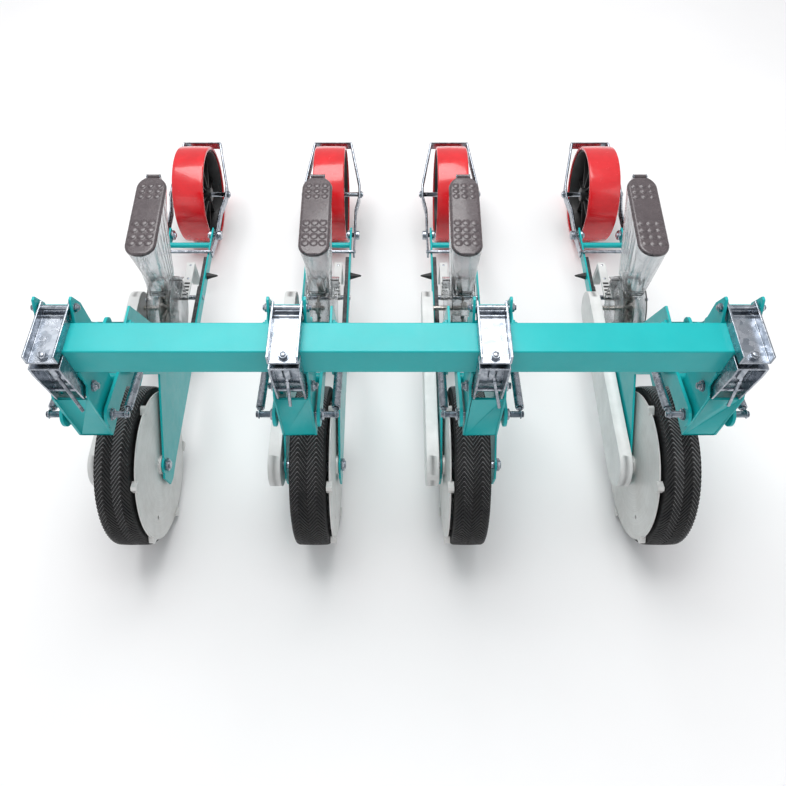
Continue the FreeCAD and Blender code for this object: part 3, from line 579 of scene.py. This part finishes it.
# ---- toolbar clamps ----------------------------------------------------------------------------
def fastener(piece, centre, half, radius, across, nut_at):
    """A through bolt along X: washer and nut at both sides, threaded ends."""
    thick = 0.0016
    for side in (1, -1):
        way = Vector((side, 0, 0))
        at = centre + way * nut_at
        piece.washer(along(at, way), radius, across * 0.62, thick)
        piece.nut(along(at + way * thick, way), across, 0.75 * radius)
        start = centre + way * (nut_at - 0.001)
        piece.thread(along(start, way), half - nut_at + 0.001, radius)
    piece.bar(along(centre - Vector((nut_at, 0, 0)), X_WAY), 2 * nut_at, radius)


def bracket_bolts():
    """Every bolt of the four brackets, in the places of the plain ones."""
    piece = Piece()
    shapes = []
    for _, low, high in islands("bracket_bolts"):
        shapes.append(((low + high) / 2, (high.x - low.x) / 2, (high.z - low.z) / 2))
    plate_at, spring_at = 43 * MM, 57.3 * MM
    for centre, half, nut_half in shapes:
        across = 2 * nut_half * 0.93
        radius = (6 if half < 55 * MM else 8) * MM
        nut_at = plate_at if half < 70 * MM else spring_at
        fastener(piece, centre, half, radius, across, nut_at)
    piece.finish("bracket_bolts_detail", "root", "zinc_plate", [ZINC], ["bracket_bolts"])


def clamp_screw(r):
    """Threaded clamp screw with top nut and washer, long hexagon sleeve and its rod handle."""
    node = "clamp_screw_" + r
    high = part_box(node)[1]
    axis = pivot("clamp_turn_" + r)
    piece = Piece()
    mesh = frame["nodes"][node].data
    tip = min((v.co for v in mesh.vertices), key=lambda co: co.z)
    sleeve_low, sleeve_top, sleeve_across = -30 * MM, 22.5 * MM, 18.6 * MM
    screw_r, rod_r = 6 * MM, 4 * MM
    top_face, washer_t = 45.3 * MM, 0.0016
    base = Vector((axis.x, axis.y, 0))
    sleeve_end = along(base + Vector((0, 0, sleeve_low)), UP)
    piece.thread(sleeve_end, high.z - sleeve_low, screw_r)
    piece.washer(along(base + Vector((0, 0, top_face)), UP), 0.006, 0.0115, washer_t)
    piece.nut(along(base + Vector((0, 0, top_face + washer_t)), UP), 17.4 * MM, 7 * MM)
    piece.nut(sleeve_end, sleeve_across, sleeve_top - sleeve_low)
    piece.washer(along(base + Vector((0, 0, sleeve_top)), UP), 0.006, 0.0125, 0.002)
    flat = Vector((tip.x - axis.x, tip.y - axis.y, 0))
    start = base + flat.normalized() * 6 * MM + Vector((0, 0, sleeve_low + 6 * MM))
    end = Vector((tip.x, tip.y, tip.z + rod_r * 0.5))
    run = end - start
    piece.bar(along(start, run), run.length, rod_r, 0.0008)
    piece.washer(along(start + run * 0.12, run), 0.0035, 0.0052, 0.006, 20)
    piece.finish("clamp_screw_detail_" + r, "clamp_" + r, "zinc_plate", [ZINC], [node])


# ---- wheels ------------------------------------------------------------------------------------
TYRE_DEPTH = 42 * MM


def zigzag(share):
    """A W across the tread: share runs from 0 to 1."""
    return abs(((share * 2.0) % 1.0) * 2.0 - 1.0)


def gauge_tyre(r, axle, low, high):
    """Black tyre with fine herringbone ribs in a double V; one flank of each rib is lighter grey, a painted
    highlight.
    """
    ribs, depth = 112, 3.4 * MM
    radius = high.z - axle.z
    half = (high.x - low.x) / 2
    mid = (high.x + low.x) / 2
    inner = radius - TYRE_DEPTH
    reach = 34 * MM / radius
    tread, margin = 33, 2.6 * MM
    crown, shoulder = 1.5 * MM, 10 * MM
    wall = [
        (-half + 5 * MM, inner, 0.0),
        (-half + 1 * MM, inner + 3 * MM, 0.0),
        (-half, inner + 12 * MM, 0.0),
        (-half, radius - shoulder - 6 * MM, 0.0),
        (-half + 0.6 * MM, radius - shoulder, 0.35),
    ]
    profile = list(wall)
    for i in range(tread):
        t = i / (tread - 1)
        x = -half + margin + t * 2 * (half - margin)
        edge = max(0.0, (abs(x) - (half - shoulder)) / shoulder)
        r_here = radius - crown * (x / half) ** 2 - shoulder * 0.62 * edge * edge
        profile.append((x, r_here, 1.0 if edge < 0.7 else 0.7))
    profile += [(-x, r_here, carve) for x, r_here, carve in reversed(wall)]
    steps = ((0.0, 1.0), (0.42, 1.0), (0.58, 0.0), (0.9, 0.0))
    verts, faces = [], []
    count = len(profile)
    for k in range(ribs):
        for share, height in steps:
            base = 2 * math.pi * (k + share) / ribs
            for x, rr, carve in profile:
                across = min(1.0, max(0.0, (x + half) / (2 * half)))
                a = base + reach * zigzag(across)
                rad = rr - depth * carve * (1.0 - height)
                verts.append((x, rad * math.cos(a), rad * math.sin(a)))
    total = ribs * len(steps)
    for k in range(total):
        n = (k + 1) % total
        for i in range(count):
            j = (i + 1) % count
            faces.append([k * count + i, n * count + i, n * count + j, k * count + j])
    piece = Piece().add(verts, faces, Matrix.Translation(Vector((mid, axle.y, axle.z))))
    obj = piece.finish("gauge_tyre_" + r, "wheel_" + r, "tread_rubber", [RUBBER, RIB_HIGHLIGHT],
                       ["gauge_wheel_" + r], 28.0)
    side_rows = len(wall) + 1
    # One flank of every rib across the tread takes the lighter grey: painted highlight lines.
    for k in range(1, total, len(steps)):
        for i in range(side_rows, count - side_rows - 1):
            obj.data.polygons[k * count + i].material_index = 1


def gauge_rim(r, axle, low, high):
    """Dished steel rim with bolts, hub, through axle and its end nut."""
    half = (high.x - low.x) / 2
    mid = (high.x + low.x) / 2
    inner = high.z - axle.z - TYRE_DEPTH
    at = along(Vector((mid, axle.y, axle.z)), X_WAY)
    piece = Piece()
    lip = half - 4 * MM
    seat = inner - 4 * MM
    piece.lathe([
        (-lip, inner), (-lip, inner - 7 * MM), (-lip + 4 * MM, inner - 7 * MM), (-lip + 6 * MM, seat),
        (-14 * MM, seat), (-10 * MM, inner - 12 * MM), (-6 * MM, inner - 30 * MM), (4 * MM, 75 * MM),
        (-2 * MM, 60 * MM), (-4 * MM, 34 * MM), (-30 * MM, 32 * MM), (-30 * MM, 12 * MM),
        (30 * MM, 12 * MM), (30 * MM, 32 * MM), (2 * MM, 34 * MM), (3 * MM, 60 * MM),
        (9 * MM, 75 * MM), (-1 * MM, inner - 30 * MM), (10 * MM, inner - 10 * MM), (14 * MM, seat),
        (lip - 6 * MM, seat), (lip - 4 * MM, inner - 7 * MM), (lip, inner - 7 * MM), (lip, inner)], at, 72)
    bolts, bolt_circle = 6, 47 * MM
    for i in range(bolts):
        a = 2 * math.pi * i / bolts
        spot = Vector((mid, axle.y + bolt_circle * math.cos(a), axle.z + bolt_circle * math.sin(a)))
        for way in (1, -1):
            piece.nut(along(spot + Vector((way * 2.5 * MM, 0, 0)), (way, 0, 0)), 13 * MM, 6 * MM)
    box_low, box_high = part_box("gauge_wheel_" + r)
    span = box_high.x - box_low.x
    piece.bar(along(Vector((box_low.x, axle.y, axle.z)), X_WAY), span, 12 * MM, 0.001, 32, 1)
    piece.nut(along(Vector((box_high.x - 13.5 * MM, axle.y, axle.z)), X_WAY), 32 * MM, 10 * MM, 1)
    piece.finish("gauge_rim_" + r, "wheel_" + r, "zinc_plate", [RIM, ZINC])


def press_wheel(r):
    """Crowned red tyre on a black ribbed hub."""
    node = "press_wheel_" + r
    low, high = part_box(node)
    mid = (low + high) / 2
    half, radius = (high.x - low.x) / 2, (high.z - low.z) / 2
    inner = radius - 12 * MM
    at = along(mid, X_WAY)
    tyre = Piece()
    profile = [(-half + 1 * MM, inner)]
    edge, crown = 5 * MM, 1.2 * MM
    for i in range(6):
        a = math.radians(90 * i / 5)
        profile.append((-half + edge - edge * math.cos(a), radius - crown - edge + edge * math.sin(a)))
    for i in range(1, 12):
        x = -half + edge + (2 * (half - edge)) * i / 12
        profile.append((x, radius - crown * (x / (half - edge)) ** 2))
    for i in range(6):
        a = math.radians(90 - 90 * i / 5)
        profile.append((half - edge + edge * math.cos(a), radius - crown - edge + edge * math.sin(a)))
    profile.append((half - 1 * MM, inner))
    tyre.lathe(profile, at, 128)
    tyre.finish("press_tyre_" + r, "press_" + r, "press_red", [RED], [node])
    hub = Piece()
    lip = half - 6 * MM
    hub.lathe([
        (-lip, inner), (-lip, inner - 6 * MM), (-lip + 3 * MM, inner - 8 * MM), (-6 * MM, inner - 11 * MM),
        (-4 * MM, inner - 24 * MM), (-3 * MM, 34 * MM), (-8 * MM, 28 * MM), (-half + 11 * MM, 25 * MM),
        (-half + 10 * MM, 23 * MM), (-half + 10 * MM, 8.2 * MM), (half - 10 * MM, 8.2 * MM),
        (half - 10 * MM, 23 * MM), (half - 11 * MM, 25 * MM), (8 * MM, 28 * MM), (3 * MM, 34 * MM),
        (4 * MM, inner - 24 * MM), (6 * MM, inner - 11 * MM), (lip - 3 * MM, inner - 8 * MM),
        (lip, inner - 6 * MM), (lip, inner)], at, 96)
    for i in range(8):
        a = 2 * math.pi * (i + 0.5) / 8
        out = Vector((0, math.cos(a), math.sin(a)))
        spoke = along(mid + out * 26 * MM, X_WAY, tuple(out))
        length = inner - 36 * MM
        for side in (1, -1):
            x0, x1 = side * 2 * MM, side * (half - 22 * MM)
            verts = []
            for x, z in ((x0, 0), (x1, 0), (x1 * 0.55, length), (x0, length)):
                for w in (-2.5 * MM, 2.5 * MM):
                    verts.append((x, w, z))
            faces = [[0, 2, 4, 6], [1, 7, 5, 3], [0, 1, 3, 2], [2, 3, 5, 4], [4, 5, 7, 6], [6, 7, 1, 0]]
            hub.add(verts, faces, spoke)
    hub.finish("press_hub_" + r, "press_" + r, "press_red", [BLACK])


# ---- hopper, lid and meter ---------------------------------------------------------------------
LID_CORNER = 42 * MM


def rounded_point(t, width, length, corner):
    """A point round a rounded rectangle, t from 0 to 1, with its outward direction."""
    w, d = width / 2 - corner, length / 2 - corner
    spans = [2 * d, corner * math.pi / 2, 2 * w, corner * math.pi / 2] * 2
    s = (t % 1.0) * sum(spans)
    centres = ((w, d), (-w, d), (-w, -d), (w, -d))
    lines = (
        ((w + corner, -d), (0, 1)), ((w, d + corner), (-1, 0)),
        ((-w - corner, d), (0, -1)), ((-w, -d - corner), (1, 0)),
    )
    for k in range(4):
        (px, py), (dx, dy) = lines[k]
        straight = spans[2 * k]
        if s <= straight:
            return Vector((px + dx * s, py + dy * s)), Vector((dy, -dx))
        s -= straight
        arc = spans[2 * k + 1]
        if s <= arc:
            a = k * math.pi / 2 + s / corner
            out = Vector((math.cos(a), math.sin(a)))
            return Vector(centres[k]) + out * corner, out
        s -= arc
    return Vector((w + corner, -d)), Vector((1, 0))


def hopper(r):
    """Clear tapered bin with moulded flutes, its hinge ears and hinge pin."""
    node = "hopper_" + r
    low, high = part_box(node)
    lid_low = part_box("hopper_lid_" + r)[0]
    hinge = pivot("lid_hinge_" + r)
    around, levels, wall = 120, 26, 2.4 * MM
    width = high.x - low.x
    mid_x = (low.x + high.x) / 2
    front_top = Vector((0, low.y, lid_low.z))
    rear_top = Vector((0, hinge.y - 6 * MM, hinge.z - 3 * MM))
    top_mid = (front_top + rear_top) / 2
    top_len = (rear_top - front_top).length
    tilt = math.atan2(rear_top.z - front_top.z, rear_top.y - front_top.y)
    drum = pivot("meter_spin_" + r)
    base_mid = Vector((0, drum.y + 10 * MM, low.z + 3 * MM))
    flutes, flute_depth = 20, 1.3 * MM
    rings, verts = [], []

    def ring(level, inset):
        e = level ** 1.08
        row = []
        for k in range(around):
            t = k / around
            top, top_out = rounded_point(t, width - 2 * inset, top_len - 2 * inset, LID_CORNER - inset)
            base, base_out = rounded_point(t, 72 * MM - 2 * inset, 96 * MM - 2 * inset, 14 * MM - inset)
            wave = 0.5 + 0.5 * math.cos(2 * math.pi * t * flutes)
            flute = flute_depth * math.sin(math.pi * level) ** 0.5 * wave
            top = top - top_out * flute
            base = base - base_out * flute
            a = Vector((top.x, top_mid.y + top.y * math.cos(tilt), top_mid.z + top.y * math.sin(tilt)))
            b = Vector((base.x, base_mid.y + base.y, base_mid.z))
            p = b.lerp(a, e)
            row.append(len(verts))
            verts.append((mid_x + p.x, p.y, p.z))
        rings.append(row)

    for i in range(levels):
        ring(i / (levels - 1), 0.0)
    for i in range(levels - 1, -1, -1):
        ring(i / (levels - 1), wall)
    faces = []
    for n in range(len(rings)):
        a, b = rings[n], rings[(n + 1) % len(rings)]
        for k in range(around):
            j = (k + 1) % around
            faces.append([a[k], a[j], b[j], b[k]])
    piece = Piece().add(verts, faces)
    for side in (1, -1):
        x = mid_x + side * 20 * MM
        ear_low = (x - 2 * MM, hinge.y - 5.5 * MM, hinge.z - 14 * MM)
        ear_high = (x + 2 * MM, hinge.y + 5 * MM, hinge.z + 5 * MM)
        piece.block(ear_low, ear_high, 0, 0.0008)
    piece.bar(along((mid_x - 22 * MM, hinge.y, hinge.z), X_WAY), 44 * MM, 3 * MM, 0.0005, 20, 1)
    piece.finish("hopper_bin_" + r, "unit_" + r, "clear_plastic", [CLEAR, ZINC], [node])


def lid(r):
    """Smoked lid: domed dimples in three columns, front and rear groups, with a turned-down rim."""
    node = "hopper_lid_" + r
    low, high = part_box(node)
    hinge = pivot("lid_hinge_" + r)
    width = high.x - low.x
    mid_x = (low.x + high.x) / 2
    front = Vector((mid_x, low.y, low.z))
    rear = Vector((mid_x, hinge.y - 6 * MM, hinge.z - 3 * MM))
    length = (rear - front).length
    slope = (rear - front).normalized()
    up = Vector((0, -slope.z, slope.y))
    depth, corner, wall = 13.5 * MM, LID_CORNER, 2.4 * MM
    rest = 0.4 * MM
    nx, ny = 60, 190
    centre = front.lerp(rear, 0.5)

    def half_width(v, inset):
        c = corner - inset
        d = max(0.0, abs(v) - (length / 2 - corner))
        return width / 2 - corner + math.sqrt(max(0.0, c * c - d * d)) if d < c else width / 2 - corner

    def dimple(u, v):
        """Height of the domes at (u, v): u across, v forward to rear."""
        h, dome_height = 0.0, 3.6 * MM
        for group, count, pitch, size in ((-0.5, 4, 25 * MM, 11.5 * MM), (0.5, 3, 21 * MM, 9.5 * MM)):
            first = -length / 2 + 42 * MM if group < 0 else length / 2 - 38 * MM - (count - 1) * pitch
            for n in range(count):
                cv = first + n * pitch
                for col in (-1, 0, 1):
                    d = math.hypot(u - col * 25 * MM, v - cv) / size
                    if d < 1.0:
                        h = max(h, math.sqrt(1 - d * d) * dome_height)
        return h

    def grid(inset, lift, domes):
        rows = []
        for j in range(ny + 1):
            v = (j / ny - 0.5) * (length - 2 * inset)
            w = half_width(v, inset)
            row = []
            for i in range(nx + 1):
                share = i / nx * 2 - 1
                u = share * w
                edge = min(w - abs(u), length / 2 - inset - abs(v)) / (9 * MM)
                roll = 1.0 if edge >= 1 else math.sqrt(max(0.0, 1 - (1 - edge) ** 2))
                crown = 1.2 * MM * (1 - (u / (width / 2)) ** 2)
                z = lift + (depth - lift - 5 * MM) * roll + crown * roll
                if domes and edge > 0.8:
                    z += dimple(u, v)
                row.append(centre + slope * v + up * z + Vector((u, 0, 0)))
            rows.append(row)
        return rows

    def above_rim(p):
        """The point p, brought up to the rim's lower edge if it lies under it."""
        height = (p - front).dot(up)
        return p if height > rest else p + up * (rest - height)

    outer, inner = grid(0.0, rest, True), grid(wall, rest, False)
    verts = [p for row in outer for p in row]
    shift = len(verts)
    verts += [above_rim(p - up * wall * 0.8) for row in inner for p in row]
    step = nx + 1
    faces = []
    for j in range(ny):
        for i in range(nx):
            a = j * step + i
            faces.append([a, a + 1, a + step + 1, a + step])
            faces.append([shift + a, shift + a + step, shift + a + step + 1, shift + a + 1])
    rim = [i for i in range(nx)] + [j * step + nx for j in range(ny)]
    rim += [ny * step + i for i in range(nx, 0, -1)] + [j * step for j in range(ny, 0, -1)]
    for k, a in enumerate(rim):
        b = rim[(k + 1) % len(rim)]
        faces.append([a, shift + a, shift + b, b])
    piece = Piece().add(verts, faces)
    piece.washer(along((mid_x - 17.5 * MM, hinge.y, hinge.z), X_WAY), 3.2 * MM, 6 * MM, 35 * MM)
    piece.finish("hopper_lid_moulded_" + r, "lid_" + r, "smoke_plastic", [SMOKE], [node], 35.0)


def strip_trim(r, s):
    """Plain black marks and screws on the white strip, collars at the fork's pivots, and a dark guide."""
    row_x = pivot("lift_" + r).x
    drum = pivot("meter_spin_" + r)
    top = drum.z + 12 * MM
    x0, x1 = sorted((row_x + s * 31 * MM, row_x + s * 55.6 * MM))
    margin, mark = 3 * MM, 8 * MM
    marks = Piece()
    for i in range(4):
        y = drum.y + (48 + 15 * i) * MM
        marks.block((x0 + margin, y, top - 0.4 * MM), (x1 - margin, y + mark, top + 0.3 * MM), 0, 0.0001)
    marks.finish("strip_marks_" + r, "unit_" + r, "tread_rubber", [BLACK])
    screws = Piece()
    for y in (38, 118, 178):
        at = along(Vector(((x0 + x1) / 2, drum.y + y * MM, top - 0.5 * MM)), UP)
        screws.lathe([(0, 0), (0, 4.2 * MM), (1.6 * MM, 3.8 * MM), (2.4 * MM, 2 * MM), (2.5 * MM, 0)], at, 20)
    fork = pivot("press_swing_" + r)
    collar = 11 * MM
    for side in (1, -1):
        inner = Vector((row_x + side * 74.8 * MM, fork.y, fork.z))
        way = Vector((-side, 0, 0))
        screws.lathe([(0, 0), (0, 17 * MM), (2 * MM, 18 * MM), (9 * MM, 18 * MM), (collar, 16 * MM),
                      (collar, 0)], along(inner, way), 32)
        screws.nut(along(inner + way * 11 * MM, way), 17 * MM, 5 * MM)
    screws.finish("strip_screws_" + r, "unit_" + r, "zinc_plate", [ZINC])
    guide = Piece()
    g0, g1 = sorted((row_x + s * 61 * MM, row_x + s * 74.9 * MM))
    plate_low, plate_t = -633 * MM, 5 * MM
    guide.block((g0, drum.y - 60 * MM, plate_low), (g1, drum.y + 132 * MM, plate_low + plate_t), 0, 0.0008)
    guide.finish("guide_front_" + r, "unit_" + r, "tread_rubber", [DARK_STEEL])


def fork_rails(r):
    """Rolled upper edges along the press-wheel fork's two arms."""
    swing, spin = pivot("press_swing_" + r), pivot("press_spin_" + r)
    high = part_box("press_fork_" + r)[1]
    end = Vector((0, high.y - 12 * MM, high.z - 15 * MM))
    run = ((swing, 0, 92), (spin, -95, 92), (spin, -25, 104), (spin, 25, 104), (end, 0, 70))
    rails = Piece()
    for side in (1, -1):
        points = []
        for point, ahead, out in run:
            y = point.y + ahead * MM
            a, b = (swing, spin) if y <= spin.y else (spin, end)
            z = a.z + (b.z - a.z) * (y - a.y) / (b.y - a.y)
            points.append(Vector((spin.x + side * out * MM, y, z + 14 * MM)))
        rails.tube(points, 4.6 * MM, 12)
    rails.finish("fork_rails_" + r, "fork_" + r, "zinc_plate", [ZINC])


def meter_trim(r, s):
    """Small screws round both flanges of the clear housing."""
    drum = pivot("meter_spin_" + r)
    row_x = pivot("lift_" + r).x
    circle, count = 95 * MM, 8
    piece = Piece()
    flanges = (
        (row_x + s * 30 * MM, s, 8 * MM, 0.28 * MM, -0.85),
        (row_x - s * 46 * MM, -s, 9 * MM, 5 * MM, -1.1),
    )
    for face, way, across, height, lowest in flanges:
        for i in range(count):
            a = 2 * math.pi * (i + 0.5) / count
            if math.sin(a) < lowest:
                continue
            spot = Vector((face, drum.y + circle * math.cos(a), drum.z + circle * math.sin(a)))
            piece.nut(along(spot, (way, 0, 0)), across, height)
    piece.finish("meter_screws_" + r, "unit_" + r, "zinc_plate", [ZINC])


# ---- springs -----------------------------------------------------------------------------------
def spring_pair(r):
    """Two close-wound tension springs with hooked eyes, from the bracket's pivot to the mast."""
    front = pivot("lift_" + r)
    low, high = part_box("springs_" + r)
    side_x = (high.x - low.x) / 2 - 7.5 * MM
    way = (pivot("level_" + r) - front).normalized()
    wire, coil_r = 2.1 * MM, 8.9 * MM
    length = 157 * MM
    for side, name in ((1, "right"), (-1, "left")):
        start = Vector((front.x + side * side_x, front.y, front.z))
        at = along(start, way)
        first, last = 17 * MM, length - 17 * MM
        turns = (last - first) / (2.08 * wire)
        points = []
        eye = 9.8 * MM
        for i in range(25):
            a = math.radians(200 - 300 * i / 24)
            points.append(at @ Vector((eye * math.cos(a), 0, eye * math.sin(a))))
        steps = int(turns * 12)
        for i in range(steps + 1):
            t = i / steps
            a = 2 * math.pi * turns * t
            ease = min(1.0, i / 8, (steps - i) / 8)
            rr = coil_r * (0.55 + 0.45 * ease)
            points.append(at @ Vector((first + (last - first) * t, rr * math.sin(a), rr * math.cos(a))))
        for i in range(25):
            a = math.radians(-120 - 300 * i / 24)
            points.append(at @ Vector((length + eye * math.cos(a), 0, -eye * math.sin(a))))
        piece = Piece().tube(points, wire, 7)
        obj = piece.finish("spring_" + name + "_" + r, None, "zinc_plate", [ZINC])
        if side == 1:
            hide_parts("springs_" + r)
        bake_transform(obj)


# ---- welds -------------------------------------------------------------------------------------
def bracket_welds(r):
    """Beads where the bracket's plates meet its web and rear tie."""
    x = pivot("lift_" + r).x
    piece = Piece()
    for side in (1, -1):
        edge = x + side * 36.4 * MM
        piece.weld((edge, -18.2 * MM, -280 * MM), (edge, -18.2 * MM, -116 * MM))
        piece.weld((edge, 5 * MM, -46.6 * MM), (edge, 75 * MM, -46.6 * MM))
    piece.finish("bracket_welds_" + r, "root", "teal_paint", [TEAL])


def unit_welds(r):
    """Beads round the cross tubes where they meet the side plates."""
    piece = Piece()
    upper = pivot("upper_swing_" + r)
    lower = pivot("lift_" + r)
    reach = pivot("level_" + r) - lower
    up_rear, low_rear = upper + reach, lower + reach
    axle = pivot("gauge_spin_" + r)
    fork = pivot("press_swing_" + r)
    ties = (
        ((up_rear.y + 26 * MM, (up_rear.z + low_rear.z) / 2), 13 * MM),
        ((axle.y + 323 * MM, axle.z + 115 * MM), 13 * MM),
        ((fork.y - 50 * MM, fork.z), 10 * MM),
    )
    for (y, z), radius in ties:
        for side in (1, -1):
            edge = lower.x + side * 74.4 * MM
            ring = radius + 0.6 * MM
            points = []
            for i in range(41):
                a = 2 * math.pi * i / 40
                points.append(Vector((edge, y + ring * math.cos(a), z + ring * math.sin(a))))
            piece.tube(points, 2.2 * MM, 7, 0, 0.5)
    piece.finish("unit_welds_" + r, "unit_" + r, "teal_paint", [TEAL])


# ---- camera, lights, floor ---------------------------------------------------------------------
def studio():
    """Camera above and before the toolbar, pale floor, soft lights and a pale sky."""
    scene = bpy.context.scene
    scene.view_settings.view_transform = "Standard"
    camera = bpy.data.objects.new("camera", bpy.data.cameras.new("camera"))
    scene.collection.objects.link(camera)
    pitch, sensor, focal, width = 58, 36, 720, 786
    camera.location = (-0.0115, -0.886, 1.293)
    camera.rotation_euler = (math.radians(90 - pitch), 0, 0)
    camera.data.lens = sensor * focal / width
    camera.data.sensor_width = sensor
    scene.camera = camera
    mesh = bpy.data.meshes.new("floor")
    size, z = 9.0, cad_box[0].z - 0.0005
    corners = [(-size, -size, z), (size, -size, z), (size, size, z), (-size, size, z)]
    mesh.from_pydata(corners, [], [(0, 1, 2, 3)])
    floor = bpy.data.objects.new("floor", mesh)
    s = Shader("floor_pale")
    s.colour(s.ramp(s.noise(1.5, 3.0), [(0.3, (0.86, 0.86, 0.86)), (0.7, (0.89, 0.89, 0.89))]))
    s.bsdf.inputs["Roughness"].default_value = 0.85
    mesh.materials.append(s.material)
    scene.collection.objects.link(floor)
    world = bpy.data.worlds.new("world")
    scene.world = world
    world.use_nodes = True
    nodes, links = world.node_tree.nodes, world.node_tree.links
    split = nodes.new("ShaderNodeSeparateXYZ")
    links.new(nodes.new("ShaderNodeTexCoord").outputs["Generated"], split.inputs["Vector"])
    sky = nodes.new("ShaderNodeValToRGB")
    for element, (at, grey) in zip(sky.color_ramp.elements, ((0.0, 0.62), (0.9, 1.0))):
        element.position = at
        element.color = (grey, grey, grey * 1.02, 1)
    links.new(split.outputs["Z"], sky.inputs["Fac"])
    background = nodes["Background"]
    links.new(sky.outputs["Color"], background.inputs["Color"])
    background.inputs["Strength"].default_value = 0.72
    lights = (
        ("key", (-0.4, 1.5, 3.4), 3.0, 150),
        ("fill", (2.6, -1.2, 2.2), 1.6, 8),
        ("front", (-1.8, -2.8, 1.4), 1.6, 5),
    )
    target = Vector((0, 0.4, -0.3))
    for name, place, side, power in lights:
        lamp = bpy.data.lights.new(name, "AREA")
        lamp.shape, lamp.size, lamp.energy = "SQUARE", side, power
        obj = bpy.data.objects.new(name, lamp)
        obj.location = place
        obj.rotation_mode = "QUATERNION"
        obj.rotation_quaternion = (target - Vector(place)).to_track_quat("-Z", "Y")
        scene.collection.objects.link(obj)


def inward(r):
    """+1 where the opener stands on the right of its wheel, -1 on the left."""
    low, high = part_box("opener_disc_" + r)
    return 1 if (low.x + high.x) / 2 > pivot("lift_" + r).x else -1


def build():
    """The whole visual model: studio, dressed CAD nodes, then the detailed pieces row by row."""
    studio()
    dress_all()
    bracket_bolts()
    for r in ROWS:
        s = inward(r)
        axle = pivot("gauge_spin_" + r)
        tyre = max(islands("gauge_wheel_" + r), key=lambda part: part[2].z)
        gauge_tyre(r, axle, tyre[1], tyre[2])
        gauge_rim(r, axle, tyre[1], tyre[2])
        press_wheel(r)
        clamp_screw(r)
        hopper(r)
        lid(r)
        meter_trim(r, s)
        strip_trim(r, s)
        fork_rails(r)
        spring_pair(r)
        bracket_welds(r)
        unit_welds(r)


build()
